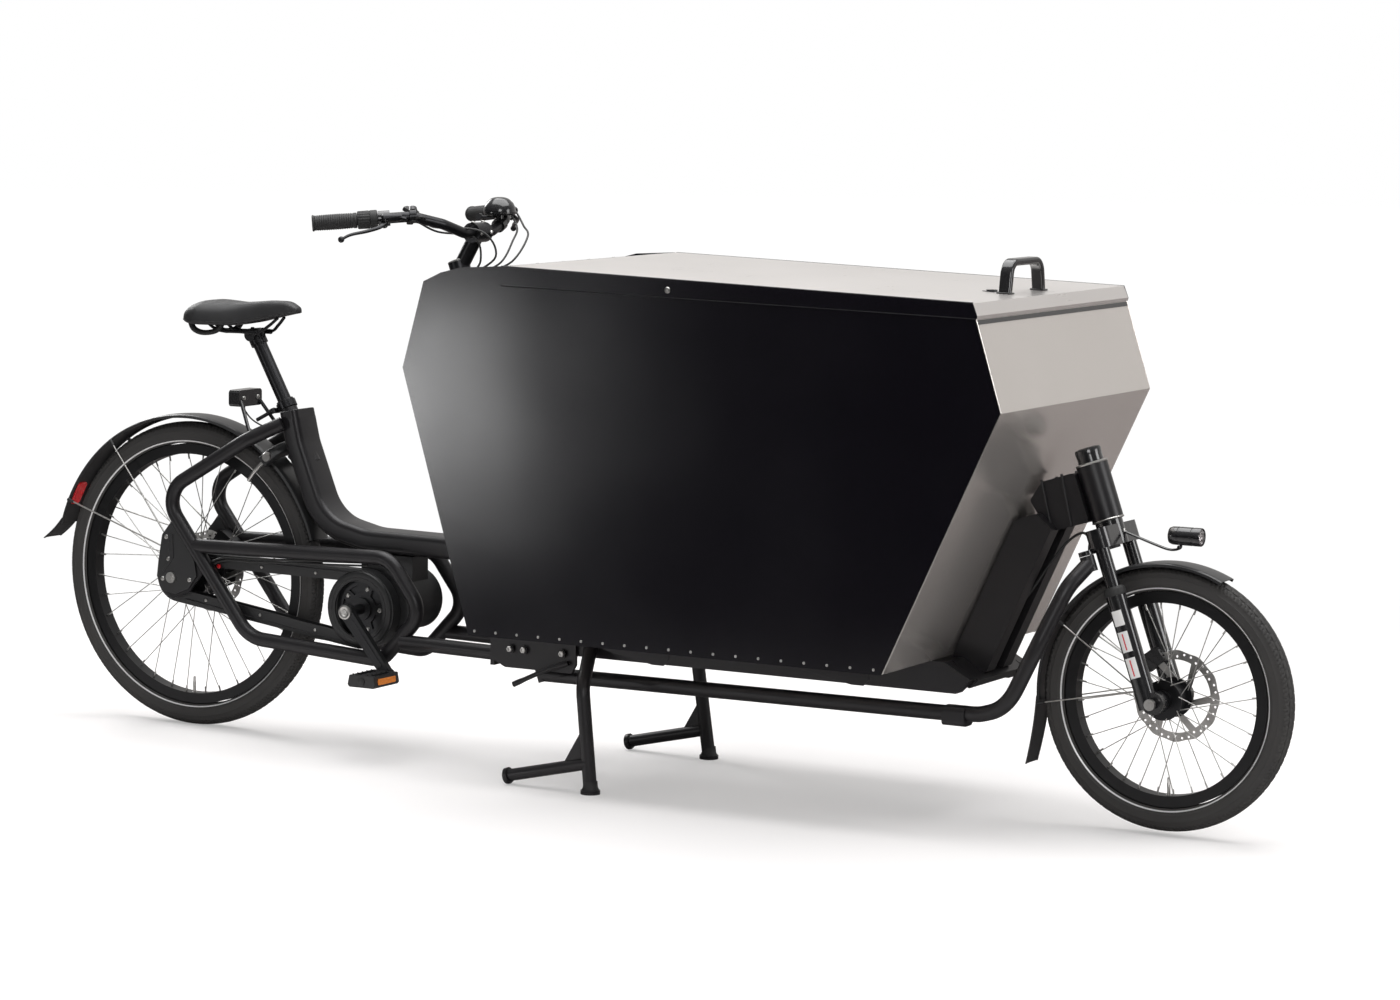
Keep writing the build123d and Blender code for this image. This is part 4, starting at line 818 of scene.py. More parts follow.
# ---------------------------------------------------------------- mudguards
# Rolled plastic guards, crowned across and with a turned lip, on thin steel stays with clips;
# each ends in a soft moulded flap. The rear one carries a red reflector.
def crown_guard(name, body, centre, radius, start, end, half, flap_tip, flap_half):
    """A crowned guard from start to end degrees and the flap below its back end."""
    rows = []
    for step in range(73):
        a = radians(start + (end - start) * step / 72)
        out = Vector((cos(a), 0, sin(a)))
        row = []
        for y, drop in ((-1.0, 8.0), (-1.0, 2.6), (-0.93, 1.0), (-0.6, 0.2), (0.0, -0.6), (0.6, 0.2), (0.93, 1.0),
                        (1.0, 2.6), (1.0, 8.0), (0.95, 8.0), (0.94, 3.0), (0.6, 1.9), (0.0, 1.2), (-0.6, 1.9),
                        (-0.94, 3.0), (-0.95, 8.0)):
            row.append(centre + out * (radius - drop) * MM + Vector((0, y * half * MM, 0)))
        rows.append(row)
    guard = Stock().closed(rows)
    a = radians(end)
    out = Vector((cos(a), 0, sin(a)))
    down = Vector((-sin(a), 0, cos(a)))
    root = centre + out * (radius + 0.2) * MM - down * 14 * MM
    rows = []
    for step in range(9):
        t = step / 8
        spot = root.lerp(Vector(flap_tip), t) + out * (-3.0 * sin(pi * t)) * MM
        wide = half * (1 - t) + flap_half * t
        rows.append([spot + Vector((0, y * wide * MM, 0)) - out * bow * MM for y, bow in (
            (-1, 5), (-0.96, 1), (-0.5, 0), (0, -0.6), (0.5, 0), (0.96, 1), (1, 5), (0.92, 5), (0.9, 2.6), (0, 1.6),
            (-0.9, 2.6), (-0.92, 5))])
    guard.closed(rows)
    return guard.make(name, guard_skin, body, "black_plastic", crease=44.0)


guard_skin = paint("guard_plastic", (0.016, 0.016, 0.017), (0.026, 0.026, 0.027), 0.34, 900.0, 0.00003)
guard_centre = Vector((rear.x - 0.008, 0, rear.z - 0.004))
rear_guard = crown_guard("rear_mudguard", "frame", guard_centre, 355.0, 17.0, 165.0, 31.0,
                         (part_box("rear_fender")[0][0] + 0.002, 0, 0.3875), 30.0)
front_guard = crown_guard("front_mudguard", "fork_slider", front, 266.0, 64.0, 186.0, 31.0,
                          (front.x - 0.2885, 0, front.z - 0.152), 26.0)
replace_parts(rear_guard, "rear_fender")
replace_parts(front_guard, "front_fender")
stays = Stock()
clips = Stock()
for hand in (-1, 1):
    for deg, foot_z in ((155.0, 0.060), (125.0, 0.078)):
        a = radians(deg)
        tip = guard_centre + Vector((0.347 * cos(a), hand * 0.0322, 0.347 * sin(a)))
        foot = Vector((rear.x - 0.006, hand * 0.088, rear.z + foot_z))
        stays.tube([tip, foot], 1.7, 10)
        clips.tube([tip - (foot - tip).normalized() * 0.004, tip + (foot - tip).normalized() * 0.012], [4.5, 3.4], 12)
        clips.bolt(foot - Vector((0, hand * 0.001, 0)), (0, hand, 0), 5.0, 3.0)
stays.make("rear_guard_stays", steel, "frame", "steel")
clips.make("rear_guard_clips", dull_black, "frame", "black_plastic")
stays = Stock()
clips = Stock()
for hand in (-1, 1):
    for deg in (186.0, 148.0):
        a = radians(deg)
        tip = front + Vector((0.258 * cos(a), hand * 0.0322, 0.258 * sin(a)))
        foot = front + Vector((-0.034, hand * 0.057, 0.020))
        stays.tube([tip, foot], 1.5, 10)
        clips.tube([tip - (foot - tip).normalized() * 0.004, tip + (foot - tip).normalized() * 0.012], [4.5, 3.2], 12)
stays.make("front_guard_stays", steel, "fork_slider", "steel")
clips.make("front_guard_clips", dull_black, "fork_slider", "black_plastic")
glint = Stock()
a = radians(153.0)
out = Vector((cos(a), 0, sin(a)))
glint.slab(rim_line(15.0, 28.0, 8.0), guard_centre + out * 0.3552, (0, -1, 0), (-sin(a), 0, cos(a)), 6.0)
glint.make("rear_reflector", red_lens, "frame", "black_plastic", edge=2.0)

# ---------------------------------------------------------------- rear light and ring lock
# A flat bar light bolted to two steel straps, with a red lens towards the back, and a moulded
# horseshoe lock with a key barrel and a bottle-shaped thumb slide.
gloss_black = paint("gloss_black", (0.010, 0.010, 0.011), (0.016, 0.016, 0.017), 0.16, 300.0, 0.00001,
                    Coat_Weight=0.4)
dress(gloss_black, "rear_light")
light_low, light_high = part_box("rear_light")
light_spot = Vector((light_low[0], 0, light_high[2] - 0.018))
Stock().slab(rim_line(39.0, 15.0, 7.0), light_spot + Vector((0.0006, 0, 0)), (0, -1, 0), (0, 0, 1), 3.0).make(
    "rear_light_lens", red_lens, "frame", "lamp_black", edge=1.4)
light_bolts = Stock()
for hand in (-1, 1):
    light_bolts.bolt(light_spot + Vector((0.028, hand * 0.026, 0.0)), (1, 0, 0), 5.5, 3.5)
light_bolts.make("rear_light_bolts", steel, "frame", "steel")
light_lead = [light_spot + Vector(p) for p in ((0.012, 0, -0.017), (0.014, 0, -0.03), (0.04, -0.004, -0.05),
                                               (0.08, -0.004, -0.062), (0.118, 0, -0.05))]
Stock().tube(rounded(light_lead, 6), 1.8, 8).make("rear_light_lead", cable_skin, "frame", "grip_rubber")

lock_spot = Vector(joint("ring_lock_slide")["pos_m"])
lock_way = Vector(joint("ring_lock_slide")["axis"]).normalized()
lock_out = Vector((lock_way.z, 0, -lock_way.x)).normalized()
side_way = Vector((0, 1, 0))
rows = []
for step in range(49):
    a = radians(-64 + 128 * step / 48)
    swell = 1.0 + 0.22 * np.exp(-((step - 24) / 9.0) ** 2)
    out = lock_out * cos(a) + side_way * sin(a)
    rows.append([lock_spot + out * (66.0 + u * swell) * MM + lock_way * v * MM
                 for u, v in rim_line(10.6, 12.8, 5.0)])
lock_shell = Stock().closed(rows).make("ring_lock_shell", dull_black, "frame", "black_plastic")
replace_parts(lock_shell, "ring_lock_body")
key_way = (side_way * -0.75 + lock_out * 0.2 - lock_way * 0.3).normalized()
key_angle = radians(-52)
key_spot = lock_spot + (lock_out * cos(key_angle) + side_way * sin(key_angle)) * 0.076
barrel = Stock().turned([(-6, 10.5), (6, 10.0), (8.5, 8.4), (8.5, 6.0), (7.6, 5.6), (7.6, 0.01)],
                        key_spot, key_way, 28)
barrel.make("ring_lock_barrel", steel, "frame", "steel")

# ---------------------------------------------------------------- main tube skin
# The big step-through tube is a hydroformed box with soft corners: a smooth outer skin follows
# its bends from the seat-tube weld down to the steering column.
def arc_path(points, radii, steps):
    """Straight runs joined by arcs of the given radii."""
    line = [points[0]]
    for before, corner, after, radius in zip(points, points[1:], points[2:], radii):
        inward, onward = (before - corner).normalized(), (after - corner).normalized()
        half = inward.angle(onward) / 2
        middle_way = (inward + onward).normalized()
        pivot = corner + middle_way * (radius / sin(half))
        first = corner + inward * (radius / (sin(half) / cos(half))) - pivot
        last = corner + onward * (radius / (sin(half) / cos(half))) - pivot
        sweep = first.angle(last)
        line += [pivot + (first * sin(sweep * (1 - t)) + last * sin(sweep * t)) / sin(sweep)
                 for t in np.linspace(0, 1, steps)]
    return line + [points[-1]]


tube_route = arc_path([rear + Vector((0.268, 0, 0.708 - rear.z)), rear + Vector((0.284, 0, 0.640 - rear.z)),
                       rear + Vector((0.352, 0, 0.470 - rear.z)), rear + Vector((0.470, 0, 0.443 - rear.z)),
                       rear + Vector((0.852, 0, 0.439 - rear.z))], [0.150, 0.120, 0.160], 14)
tube_route[0] = tube_route[0].lerp(tube_route[1], 0.30)
skin_rows = []
for i, spot in enumerate(tube_route):
    way = (tube_route[min(i + 1, len(tube_route) - 1)] - tube_route[max(i - 1, 0)]).normalized()
    thin = Vector((way.z, 0, -way.x))
    skin_rows.append([spot + (Vector((0, u, 0)) + thin * v) * MM for u, v in rim_line(40.8, 23.3, 13.5, 7)])
Stock().closed(skin_rows).make("main_tube_skin", satin_black, "frame", "frame_paint", crease=50.0)

# ---------------------------------------------------------------- cargo box
# Sides of thin aluminium sheet coated deep gloss black, pop-riveted along the floor; front panels
# of bare satin sheet folded at the crease; a black rubber seal under the lid's front flange.
def coated_sheet():
    """Deep gloss black on thin sheet that waves very slightly."""
    skin = material("gloss_black_sheet")
    cloud = skin.noise(3.0)
    wave = skin.noise(2.2, 1.0)
    speck = skin.noise(1200.0, 1.0)
    return skin.surface(Base_Color=skin.mix(cloud, tone(0.0026, 0.0021, 0.0040), tone(0.0044, 0.0037, 0.0062)),
                        Roughness=0.13 + cloud * 0.09, Specular_IOR_Level=0.55,
                        Normal=skin.bump(wave + speck * 0.004, 0.0035))


def bare_sheet(name, low, high, rough):
    """Uncoated aluminium sheet with the rolling lines running lengthwise."""
    skin = material(name)
    lines = skin.noise(420.0, 3.0, (1.0, 0.03, 1.0))
    cloud = skin.noise(4.0)
    return skin.surface(Base_Color=skin.mix(cloud, tone(*low), tone(*high)), Metallic=0.85,
                        Roughness=rough + lines * 0.05 + cloud * 0.05, Normal=skin.bump(lines, 0.000004))


box_black = coated_sheet()
satin_sheet = bare_sheet("satin_sheet", (0.73, 0.69, 0.655), (0.79, 0.75, 0.715), 0.17)
lid_sheet = bare_sheet("lid_sheet", (0.74, 0.71, 0.69), (0.80, 0.77, 0.75), 0.24)
rubber = paint("black_rubber", (0.012, 0.012, 0.012), (0.020, 0.020, 0.020), 0.62, 800.0, 0.00006)
dress(box_black, "box_sides", "box_rear_wall")
dress(satin_sheet, "box_front_panel", "box_floor")
side_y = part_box("box_sides")[1][1]
rivets = Stock()
for hand in (-1, 1):
    for count in range(19):
        spot = Vector((-0.135 + count * 0.050, hand * side_y, 0.3265))
        rivets.turned([(0, 2.9), (0.7, 2.5), (1.1, 1.2), (1.1, 0.01)], spot, (0, hand, 0), 12)
rivets.make("box_rivets", steel, "frame", "steel")
panel_lean = Vector((-0.306, 0, 0.952))
seal = Stock().slab([(-344, -5), (344, -5), (344, 4), (-344, 4)], Vector((0.9674, 0, 0.9985)), (0, 1, 0),
                    panel_lean, 2.4)
seal.make("lid_seal", gloss_black, "frame", "grip_rubber", edge=0.6)
edges = Stock()
for hand in (-1, 1):
    y = hand * (side_y - 0.0004)
    edges.tube([Vector((0.7845, y, 0.3195)), Vector((1.0215, y, 0.831))], 0.6, 6)
    edges.tube([Vector((1.0215, y, 0.831)), Vector((0.9655, y, 1.0075))], 0.6, 6)
edges.make("box_front_edges", satin_sheet, "frame", "box_sheet")

# ---------------------------------------------------------------- lid
# A folded satin sheet with black rims down both sides, a bent handle screwed on near the front,
# an oval cam lock beside it, and two gas struts inside that lift it about the rear hinge.
lid_low, lid_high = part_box("lid")
LID_REAR, LID_FRONT = Vector((lid_low[0], 0, lid_high[2])), Vector((lid_high[0] - 0.011, 0, 1.034))
fold = [(LID_REAR.x, 1.0600), (LID_REAR.x, LID_REAR.z), (LID_FRONT.x, LID_FRONT.z), (lid_high[0] - 0.0006, 1.0105),
        (lid_high[0] - 0.0022, 1.0035), (lid_high[0] - 0.0040, 1.0037), (lid_high[0] - 0.0026, 1.0100),
        (LID_FRONT.x - 0.001, LID_FRONT.z - 0.002)]
top = Stock().closed([[Vector((x, y, z)) for x, z in fold] for y in (-0.3494, 0.3494)])
lid_top = top.make("lid_top", lid_sheet, "lid_panel", "box_sheet", edge=0.8)
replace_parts(lid_top, "lid")
rims, studs, hems = Stock(), Stock(), Stock()
RIM_FACE, STUD_X, STUD_Z = 0.3505, 0.304, 1.031
for hand in (-1, 1):
    outline = [(LID_REAR.x, 1.0225), (LID_FRONT.x + 0.0085, 1.0040), (LID_FRONT.x + 0.0105, 1.0100),
               (LID_FRONT.x + 0.0005, 1.0346), (LID_REAR.x, 1.0626)]
    outline = [(u / MM, v / MM) for u, v in outline]
    if hand < 0:
        rims.slab(outline, Vector((0, -0.3490, 0)), (1, 0, 0), (0, 0, 1), 2.0)
        rims.slab([(LID_REAR.x / MM, 0), (LID_FRONT.x / MM, 0), (LID_FRONT.x / MM, 5), (LID_REAR.x / MM, 5)],
                  Vector((0, -RIM_FACE, 1.0600)), (1, 0, -0.027), (0, 1, 0), 1.4)
    else:
        rims.slab([(-u, v) for u, v in reversed(outline)], Vector((0, 0.3490, 0)), (-1, 0, 0), (0, 0, 1), 2.0)
    studs.turned([(0, 6.0), (13, 6.0)], Vector((STUD_X, hand * 0.3375, STUD_Z)), (0, hand, 0), 16)
    studs.bolt(Vector((STUD_X, hand * RIM_FACE, STUD_Z)), (0, hand, 0), 6.5, 3.0)
    hem = [Vector((LID_REAR.x, hand * RIM_FACE, 1.0235)), Vector((LID_FRONT.x + 0.0080, hand * RIM_FACE, 1.0052))]
    hems.tube(hem, 1.1, 8)
hems.make("lid_hems", satin_alloy, "lid_panel", "box_gloss")
rims.make("lid_rims", box_black, "lid_panel", "box_gloss", edge=0.6)
studs.make("lid_strut_studs", steel, "lid_panel", "steel")
hinge_line = Vector((-0.0845, 0, 1.0572))
ridge = Stock().turned([(-334, 4.2), (334, 4.2)], hinge_line, (0, 1, 0), 20)
for count in range(7):
    ridge.turned([(-1.2, 5.0), (1.2, 5.0)], level_with(hinge_line, -0.30 + 0.10 * count), (0, 1, 0), 20)
ridge.make("hinge_knuckles", box_black, "frame", "box_gloss")
dress(gloss_black, "lid_handle")
slope = (LID_FRONT.z - LID_REAR.z) / (LID_FRONT.x - LID_REAR.x)
lid_way = Vector((1, 0, slope)).normalized()
feet = Stock()
for hand in (-1, 1):
    spot = Vector((0.897, hand * 0.0765, LID_REAR.z + slope * (0.897 - LID_REAR.x) + 0.0002))
    feet.slab(rim_line(17.0, 9.5, 5.0), spot, lid_way, (0, 1, 0), 3.0)
feet.make("handle_feet", gloss_black, "lid_panel", "black_plastic", edge=1.0)
lock_spot = middle("lid_lock")
oval = [(20 * cos(t), 13.5 * sin(t)) for t in np.linspace(0, 2 * pi, 32, endpoint=False)]
plate_spot = Vector((lock_spot.x, lock_spot.y, LID_REAR.z + slope * (lock_spot.x - LID_REAR.x) + 0.0001))
Stock().slab(oval, plate_spot, lid_way, (0, 1, 0), 0.8).make("lid_lock_plate", gloss_black, "lid_panel",
                                                             "black_plastic", edge=0.3)
dress(satin_alloy, "lid_lock")
slit = Stock().slab(rim_line(4.4, 0.8, 0.6, 3), lock_spot + Vector((0, 0, 0.0013)), (1, 0, 0), (0, 1, 0), 0.5)
slit.make("lid_lock_keyhole", steel, "lid_cam", "steel")

# ---------------------------------------------------------------- steering and handlebar
# A butted steel shaft in the column, an adjustable stem with an alloy top cap, and a swept bar
# with ribbed rubber grips, a twist shifter, a small display, two hydraulic levers and a bell.
dress(satin_alloy, "steering_shaft", "stem", "handlebar", "seat_post", "seat_clamp", "bell_lever")
dress(gloss_black, "bar_clamps")
up = Vector(joint("steer")["axis"]).normalized()
ahead = Vector((up.z, 0, -up.x))
column_foot = Vector(joint("steer")["pos_m"])


def on_column(z, forward=0.0, sideways=0.0):
    """A place on the steering axis at a height, or beside it."""
    return column_foot + up * ((z - column_foot.z) / up.z) + ahead * forward + Vector((0, sideways, 0))


caps = Stock().turned([(-2, 24.0), (2.5, 24.0), (3.5, 22.5)], on_column(0.998), up, 40)
caps.turned([(0, 22.6), (3.0, 22.0), (4.4, 19.0), (4.4, 8.0), (3.0, 7.0), (3.0, 0.01)], on_column(1.044), up, 40)
caps.make("stem_caps", steel, "steering", "steel")
clamp_spot = Vector((rear.x + 0.726, 0, 1.107))
stem_bolts = Stock()
for hand in (-1, 1):
    stem_bolts.bolt(clamp_spot + Vector((0.0, hand * 0.019, 0.021)), (0, 0, 1), 4.6, 3.4)
    stem_bolts.bolt(clamp_spot + Vector((0.021, hand * 0.019, 0.0)), (1, 0, 0), 4.6, 3.4)
stem_bolts.make("stem_bolts", steel, "steering", "steel")

shift = joint("shift_twist")
right_way = Vector(shift["axis"]).normalized()
right_end = Vector(shift["pos_m"]) - right_way * 0.0925
left_way = Vector((right_way.x, -right_way.y, right_way.z))
left_end = Vector((right_end.x, -right_end.y, right_end.z))


def ribbed(length, radius, pitch, depth):
    """A grip's outline: rounded ribs between a thick end flange and a plain collar."""
    line = [(0.0, 0.01), (0.0, radius - 1.5), (1.2, radius), (3.6, radius), (4.6, radius - 1.2)]
    for step in range(int((length - 12.0) / pitch * 4)):
        along = 5.2 + step * pitch / 4
        swell = 0.9 * sin(pi * along / length)
        line.append((along, radius - 2.4 + swell + (depth if step % 4 in (1, 2) else 0.0)))
    return line + [(length - 6.0, radius - 1.0), (length - 1.0, radius - 1.0), (length, radius - 2.0),
                   (length, 11.6)]


grips = Stock().turned(ribbed(92.0, 17.0, 4.6, 1.0), right_end, right_way, 40)
grips.turned(ribbed(132.0, 17.0, 4.6, 1.0), left_end, left_way, 40)
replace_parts(grips.make("ribbed_grips", rubber, "steering", "grip_rubber", crease=50.0), "grips")
shifter = Stock()
rows = []
for along, radius, cut in ((0.2, 14.0, 0), (0.8, 17.6, 0), (3.0, 18.6, 1), (24.0, 18.8, 1), (26.0, 17.4, 0),
                           (27.0, 18.9, 0), (40.0, 18.9, 0), (41.6, 17.0, 0), (41.8, 12.0, 0)):
    first, second = across(right_way)
    ring = []
    for step in range(72):
        a = 2 * pi * step / 72
        dip = 1.3 if cut and step % 4 < 2 else 0.0
        out = first * cos(a) + second * sin(a)
        ring.append(right_end + right_way * (92.5 + along) * MM + out * (radius - dip) * MM)
    rows.append(ring)
shifter.grid(rows, ring=True)
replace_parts(shifter.make("shifter_barrel", rubber, "shifter", "black_plastic", crease=40.0), "twist_shifter")

bar_spot = Vector((rear.x + 0.655, -0.150, 1.150))
display = Stock().slab(rim_line(26.0, 15.0, 6.0), bar_spot, (0.42, -0.90, 0.0), (0.89, 0.42, -0.45), 9.0)
display.tube([bar_spot + Vector((0.0, 0, -0.024)), bar_spot + Vector((0, 0, 0.001))], 7.0, 14)
display.make("display_pod", dull_black, "steering", "black_plastic", edge=2.0)
levers = Stock()
for way, end, reach in ((right_way, right_end, 0.1475), (left_way, left_end, 0.150)):
    perch = end + way * reach
    forward = way.cross(Vector((0, 0, 1))).normalized()
    if forward.x < 0:
        forward = -forward
    tank = [perch + way * k * MM + forward * 24 * MM + Vector((0, 0, 0.002)) for k in (-6, -2, 30, 36)]
    levers.tube(tank, [6.0, 11.0, 11.0, 7.0], 18, flat=0.8)
    spout = perch + way * 44 * MM + forward * 20 * MM - Vector((0, 0, 0.004))
    levers.tube([perch + way * 30 * MM + forward * 22 * MM, spout], [5.2, 4.0], 12)
    remote = perch + way * 0.060
    levers.tube([remote - way * 0.007, remote + way * 0.007], 14.0, 24)
    levers.tube([remote + Vector((0, 0, 0.010)) - forward * 0.004, remote + Vector((0, 0, 0.017)) - forward * 0.016],
                [9.5, 8.0], 20, flat=0.7)
levers.make("brake_reservoirs", satin_alloy, "steering", "black_alloy", crease=44.0)

for hand, side in SIDES:
    hinge = Vector(joint(f"{side}_brake")["pos_m"])
    ball = Vector((-0.474, hand * 0.330, 1.100))
    bends = ((0.22, (0.010, 0, -0.001)), (0.50, (0.008, 0, 0.000)), (0.80, (0.002, 0, 0.003)))
    blade = rounded([hinge] + [hinge.lerp(ball, share) + Vector(bow) for share, bow in bends] + [ball], 5)
    swell = [6.2 - 2.6 * k / (len(blade) - 1) for k in range(len(blade))]
    brake = Stock().tube(blade, swell, 14, flat=0.72)
    way = (blade[-1] - blade[-2]).normalized()
    brake.turned([(-6.2, 2.6), (-5.0, 4.6), (-2.4, 6.2), (0.8, 6.6), (4.0, 5.4), (6.0, 2.6), (6.4, 0.01)],
                 ball, way, 20)
    brake = brake.make(f"{side}_lever_blade", satin_alloy, f"lever_{side[0]}", "black_alloy", crease=60.0)
    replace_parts(brake, f"{side}_brake_lever")
bar_cables = Stock()
LOOPS = {-1: ([(-0.398, -0.088, 1.110), (-0.345, -0.030, 1.098), (-0.334, -0.022, 1.050)],
              [(-0.402, -0.098, 1.120), (-0.322, -0.040, 1.112), (-0.298, -0.020, 1.060)]),
         1: ([(-0.352, 0.150, 1.110), (-0.322, 0.085, 1.088), (-0.322, 0.040, 1.045)],
             [(-0.346, 0.165, 1.116), (-0.298, 0.105, 1.096), (-0.300, 0.046, 1.046)])}
for hand, loops in LOOPS.items():
    way, end = (right_way, right_end) if hand < 0 else (left_way, left_end)
    for turn, loop in enumerate(loops):
        leave = end + way * (0.186 + turn * 0.008) + Vector((0.010 + 0.008 * turn, 0, -0.010 + 0.008 * turn))
        last = [on_column(1.000, 0.023 + 0.004 * turn, hand * (0.012 + 0.010 * turn)),
                on_column(0.950, 0.024, hand * (0.012 + 0.010 * turn))]
        bar_cables.tube(rounded([leave, leave + way * 0.020] + [Vector(spot) for spot in loop] + last, 8), 2.2, 10)
bar_cables = bar_cables.make("bar_cables", cable_skin, None, "grip_rubber")
tuple(on_column(0.990))
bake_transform(bar_cables)
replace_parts(bar_cables, "control_cables")

bell_spot = Vector((rear.x + 0.7187, 0.096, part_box("bar_clamps")[1][2] - 0.034))
bell = Stock().turned([(-4, 12), (-3.4, 33.0), (-1, 34.0), (5, 34.0), (14, 32.6), (22, 28.4), (28, 21.6), (31.8, 13.0),
                       (33.4, 6.5), (33.9, 4.0), (33.9, 0.01)], bell_spot, (0, 0, 1), 64)
bell.make("bell_dome", gloss_black, "steering", "gloss_black")

# ---------------------------------------------------------------- fork and headlight
# A short-travel suspension fork in gloss black with plain pale stripes, alloy headset cups, a
# turned alloy lamp with a clear bezel, and a hydraulic hose clipped along the frame.
fork_gloss = paint("fork_gloss", (0.008, 0.008, 0.009), (0.013, 0.013, 0.014), 0.18, 300.0, 0.00001,
                   Coat_Weight=0.6)
dress(fork_gloss, "fork_upper", "fork_lower", "headlight")
fork_foot = Vector(joint("fork_steer")["pos_m"])


def on_fork(along, forward=0.0, sideways=0.0):
    """A place along the fork's axis, or beside it, in millimetres."""
    return fork_foot + (up * along + ahead * forward + Vector((0, sideways, 0))) * MM


cups = Stock()
cups.turned([(-1.5, 31.4), (0.5, 32.2), (2.0, 31.8), (3.2, 28.0), (3.2, 26.0)], on_fork(476), up, 48)
cups.turned([(1.0, 31.4), (-0.5, 32.2), (-2.0, 31.8), (-3.4, 29.0)], on_fork(364), up, 48)
cups.make("headset_cups", steel, "frame", "steel")
knob = Stock().turned([(-6, 25.6), (2, 26.2), (6, 25.0), (8, 21.0), (6.4, 17.0), (6.4, 0.01)], on_fork(500), up, 40)
knob.make("fork_top_cap", gloss_black, "fork", "black_alloy")
seals = Stock()
for hand in (-1, 1):
    seals.turned([(-14, 20.3), (-12, 21.6), (-2, 21.6), (1, 19.8), (3.5, 17.0), (3.5, 14.6)],
                 on_fork(232, 0, hand * 65), up, 32)
seals.make("fork_dust_seals", rubber, "fork_slider", "grip_rubber")
stripe_skin = paint("pale_stripe", (0.62, 0.62, 0.62), (0.74, 0.74, 0.73), 0.3, 900.0, 0.00001)
accent_skin = paint("accent_stripe", (0.50, 0.02, 0.03), (0.62, 0.03, 0.04), 0.3, 900.0, 0.00001)


def leg_patch(stock, hand, low, high, start, end, lift=20.22):
    """A thin curved patch on the outside of a fork leg."""
    rows = []
    for along in np.linspace(low, high, 6):
        rows.append([on_fork(along, lift * cos(a), hand * (65 + lift * sin(a)))
                     for a in np.linspace(radians(start), radians(end), 12)])
    stock.grid(rows)


stripes, accents = Stock(), Stock()
for hand in (-1, 1):
    for low, high in ((160, 190), (108, 148), (56, 96)):
        leg_patch(stripes, hand, low, high, 62, 126)
    for low, high in ((112, 144), (60, 92)):
        leg_patch(accents, hand, low, high, 90, 98, 20.32)
stripes.make("fork_stripes", stripe_skin, "fork_slider", "black_alloy")
accents.make("fork_accents", accent_skin, "fork_slider", "black_alloy")
lamp_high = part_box("headlight")[1]
lamp = Vector((lamp_high[0] - 0.068, 0, lamp_high[2] - 0.018))
shell_line = [(0, 0.01), (0.4, 11.0), (2.5, 15.5), (8, 17.6), (20, 17.9), (21, 17.0), (23, 17.0), (24, 17.9),
              (48, 17.9), (49, 17.2), (51, 17.2), (52, 17.9), (66, 17.9), (67.6, 17.0), (67.6, 15.2), (64, 14.6)]
lamp_piece = Stock().turned(shell_line, lamp, (1, 0, 0), 64)
lamp_piece.tube(rounded([lamp + Vector((0.024, 0, -0.015)), lamp + Vector((0.022, 0, -0.024)),
                         lamp + Vector((0.002, 0, -0.028)), lamp + Vector((-0.030, 0, -0.020)),
                         on_fork(334, 24, 0)], 6), 4.2, 12, flat=0.6)
lamp_piece.bolt(lamp + Vector((0.022, -0.004, -0.022)), (0, -1, 0), 4.0, 3.0)
lamp_piece = lamp_piece.make("headlamp_body", fork_gloss, "fork", "lamp_black")
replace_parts(lamp_piece, "headlight")
reflector = brushed_steel("lamp_reflector", (0.85, 0.85, 0.86), 0.05, (1.0, 1.0, 1.0))
Stock().turned([(0, 1.0), (2.0, 6.0), (7.0, 11.0), (12.0, 14.2)], lamp + Vector((0.053, 0, 0)), (1, 0, 0), 40).make(
    "headlamp_reflector", reflector, "fork", "steel")
clear = material("clear_lens")
ripple = clear.noise(120.0)
clear_skin = clear.surface(Base_Color=clear.mix(ripple, tone(0.86, 0.80, 0.80), tone(0.95, 0.90, 0.90)),
                           Roughness=0.04 + ripple * 0.04, Transmission_Weight=0.9, IOR=1.45)
Stock().turned([(0, 15.0), (1.2, 14.4), (2.4, 9.0), (2.8, 0.01)], lamp + Vector((0.0648, 0, 0)), (1, 0, 0), 40).make(
    "headlamp_lens", clear_skin, "fork", "lamp_black")

hose = rounded([Vector((front.x - 0.330, -0.012, 0.400)), Vector((front.x - 0.290, -0.012, 0.452)),
                Vector((front.x - 0.246, -0.014, 0.515)), Vector((front.x - 0.205, -0.026, 0.560)),
                Vector((front.x - 0.168, -0.044, 0.580)), on_fork(336, -27, -50), on_fork(316, -30, -58),
                on_fork(300, -26, -60)], 8)
hose_piece = Stock().tube(hose, 2.6, 12).make("front_brake_hose", cable_skin, None, "grip_rubber")
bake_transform(hose_piece)
guard_mount = Stock().slab(rim_line(14.0, 14.0, 5.0), on_fork(334, 20, 0), (0, -1, 0), up, 6.0)
guard_mount.bolt(on_fork(334, 26, 0), ahead, 5.0, 3.5)
guard_mount.make("guard_bracket", steel, "fork", "steel", edge=1.0)

# ---------------------------------------------------------------- stand
# A bent tubular stand in black powder coat: flared rubber feet, a stepping tube behind each leg
# with a rolled end ring, and welded gussets; a short rod lever lets it go.
leg_y = 0.244
foot_x = rear.x + 1.159
shoes = Stock()
ring_ends = Stock()
for hand in (-1, 1):
    foot = Vector((foot_x, hand * leg_y, 0))
    shoes.turned([(0.0, 0.01), (0.0, 19.8), (3.0, 20.0), (8.0, 18.0), (14.0, 15.4), (24.0, 14.4), (26.0, 14.2)],
                 foot, (0, 0, 1), 32)
    back = Vector((rear.x + 0.960, hand * leg_y, 0.0165))
    way = Vector((-0.966, 0, -0.2125)).normalized()
    ring_ends.turned([(-8, 13.0), (-6, 16.4), (0, 16.4), (1.5, 15.4), (1.5, 9.0), (-3.0, 8.4), (-3.0, 0.01)],
                     back, way, 32)
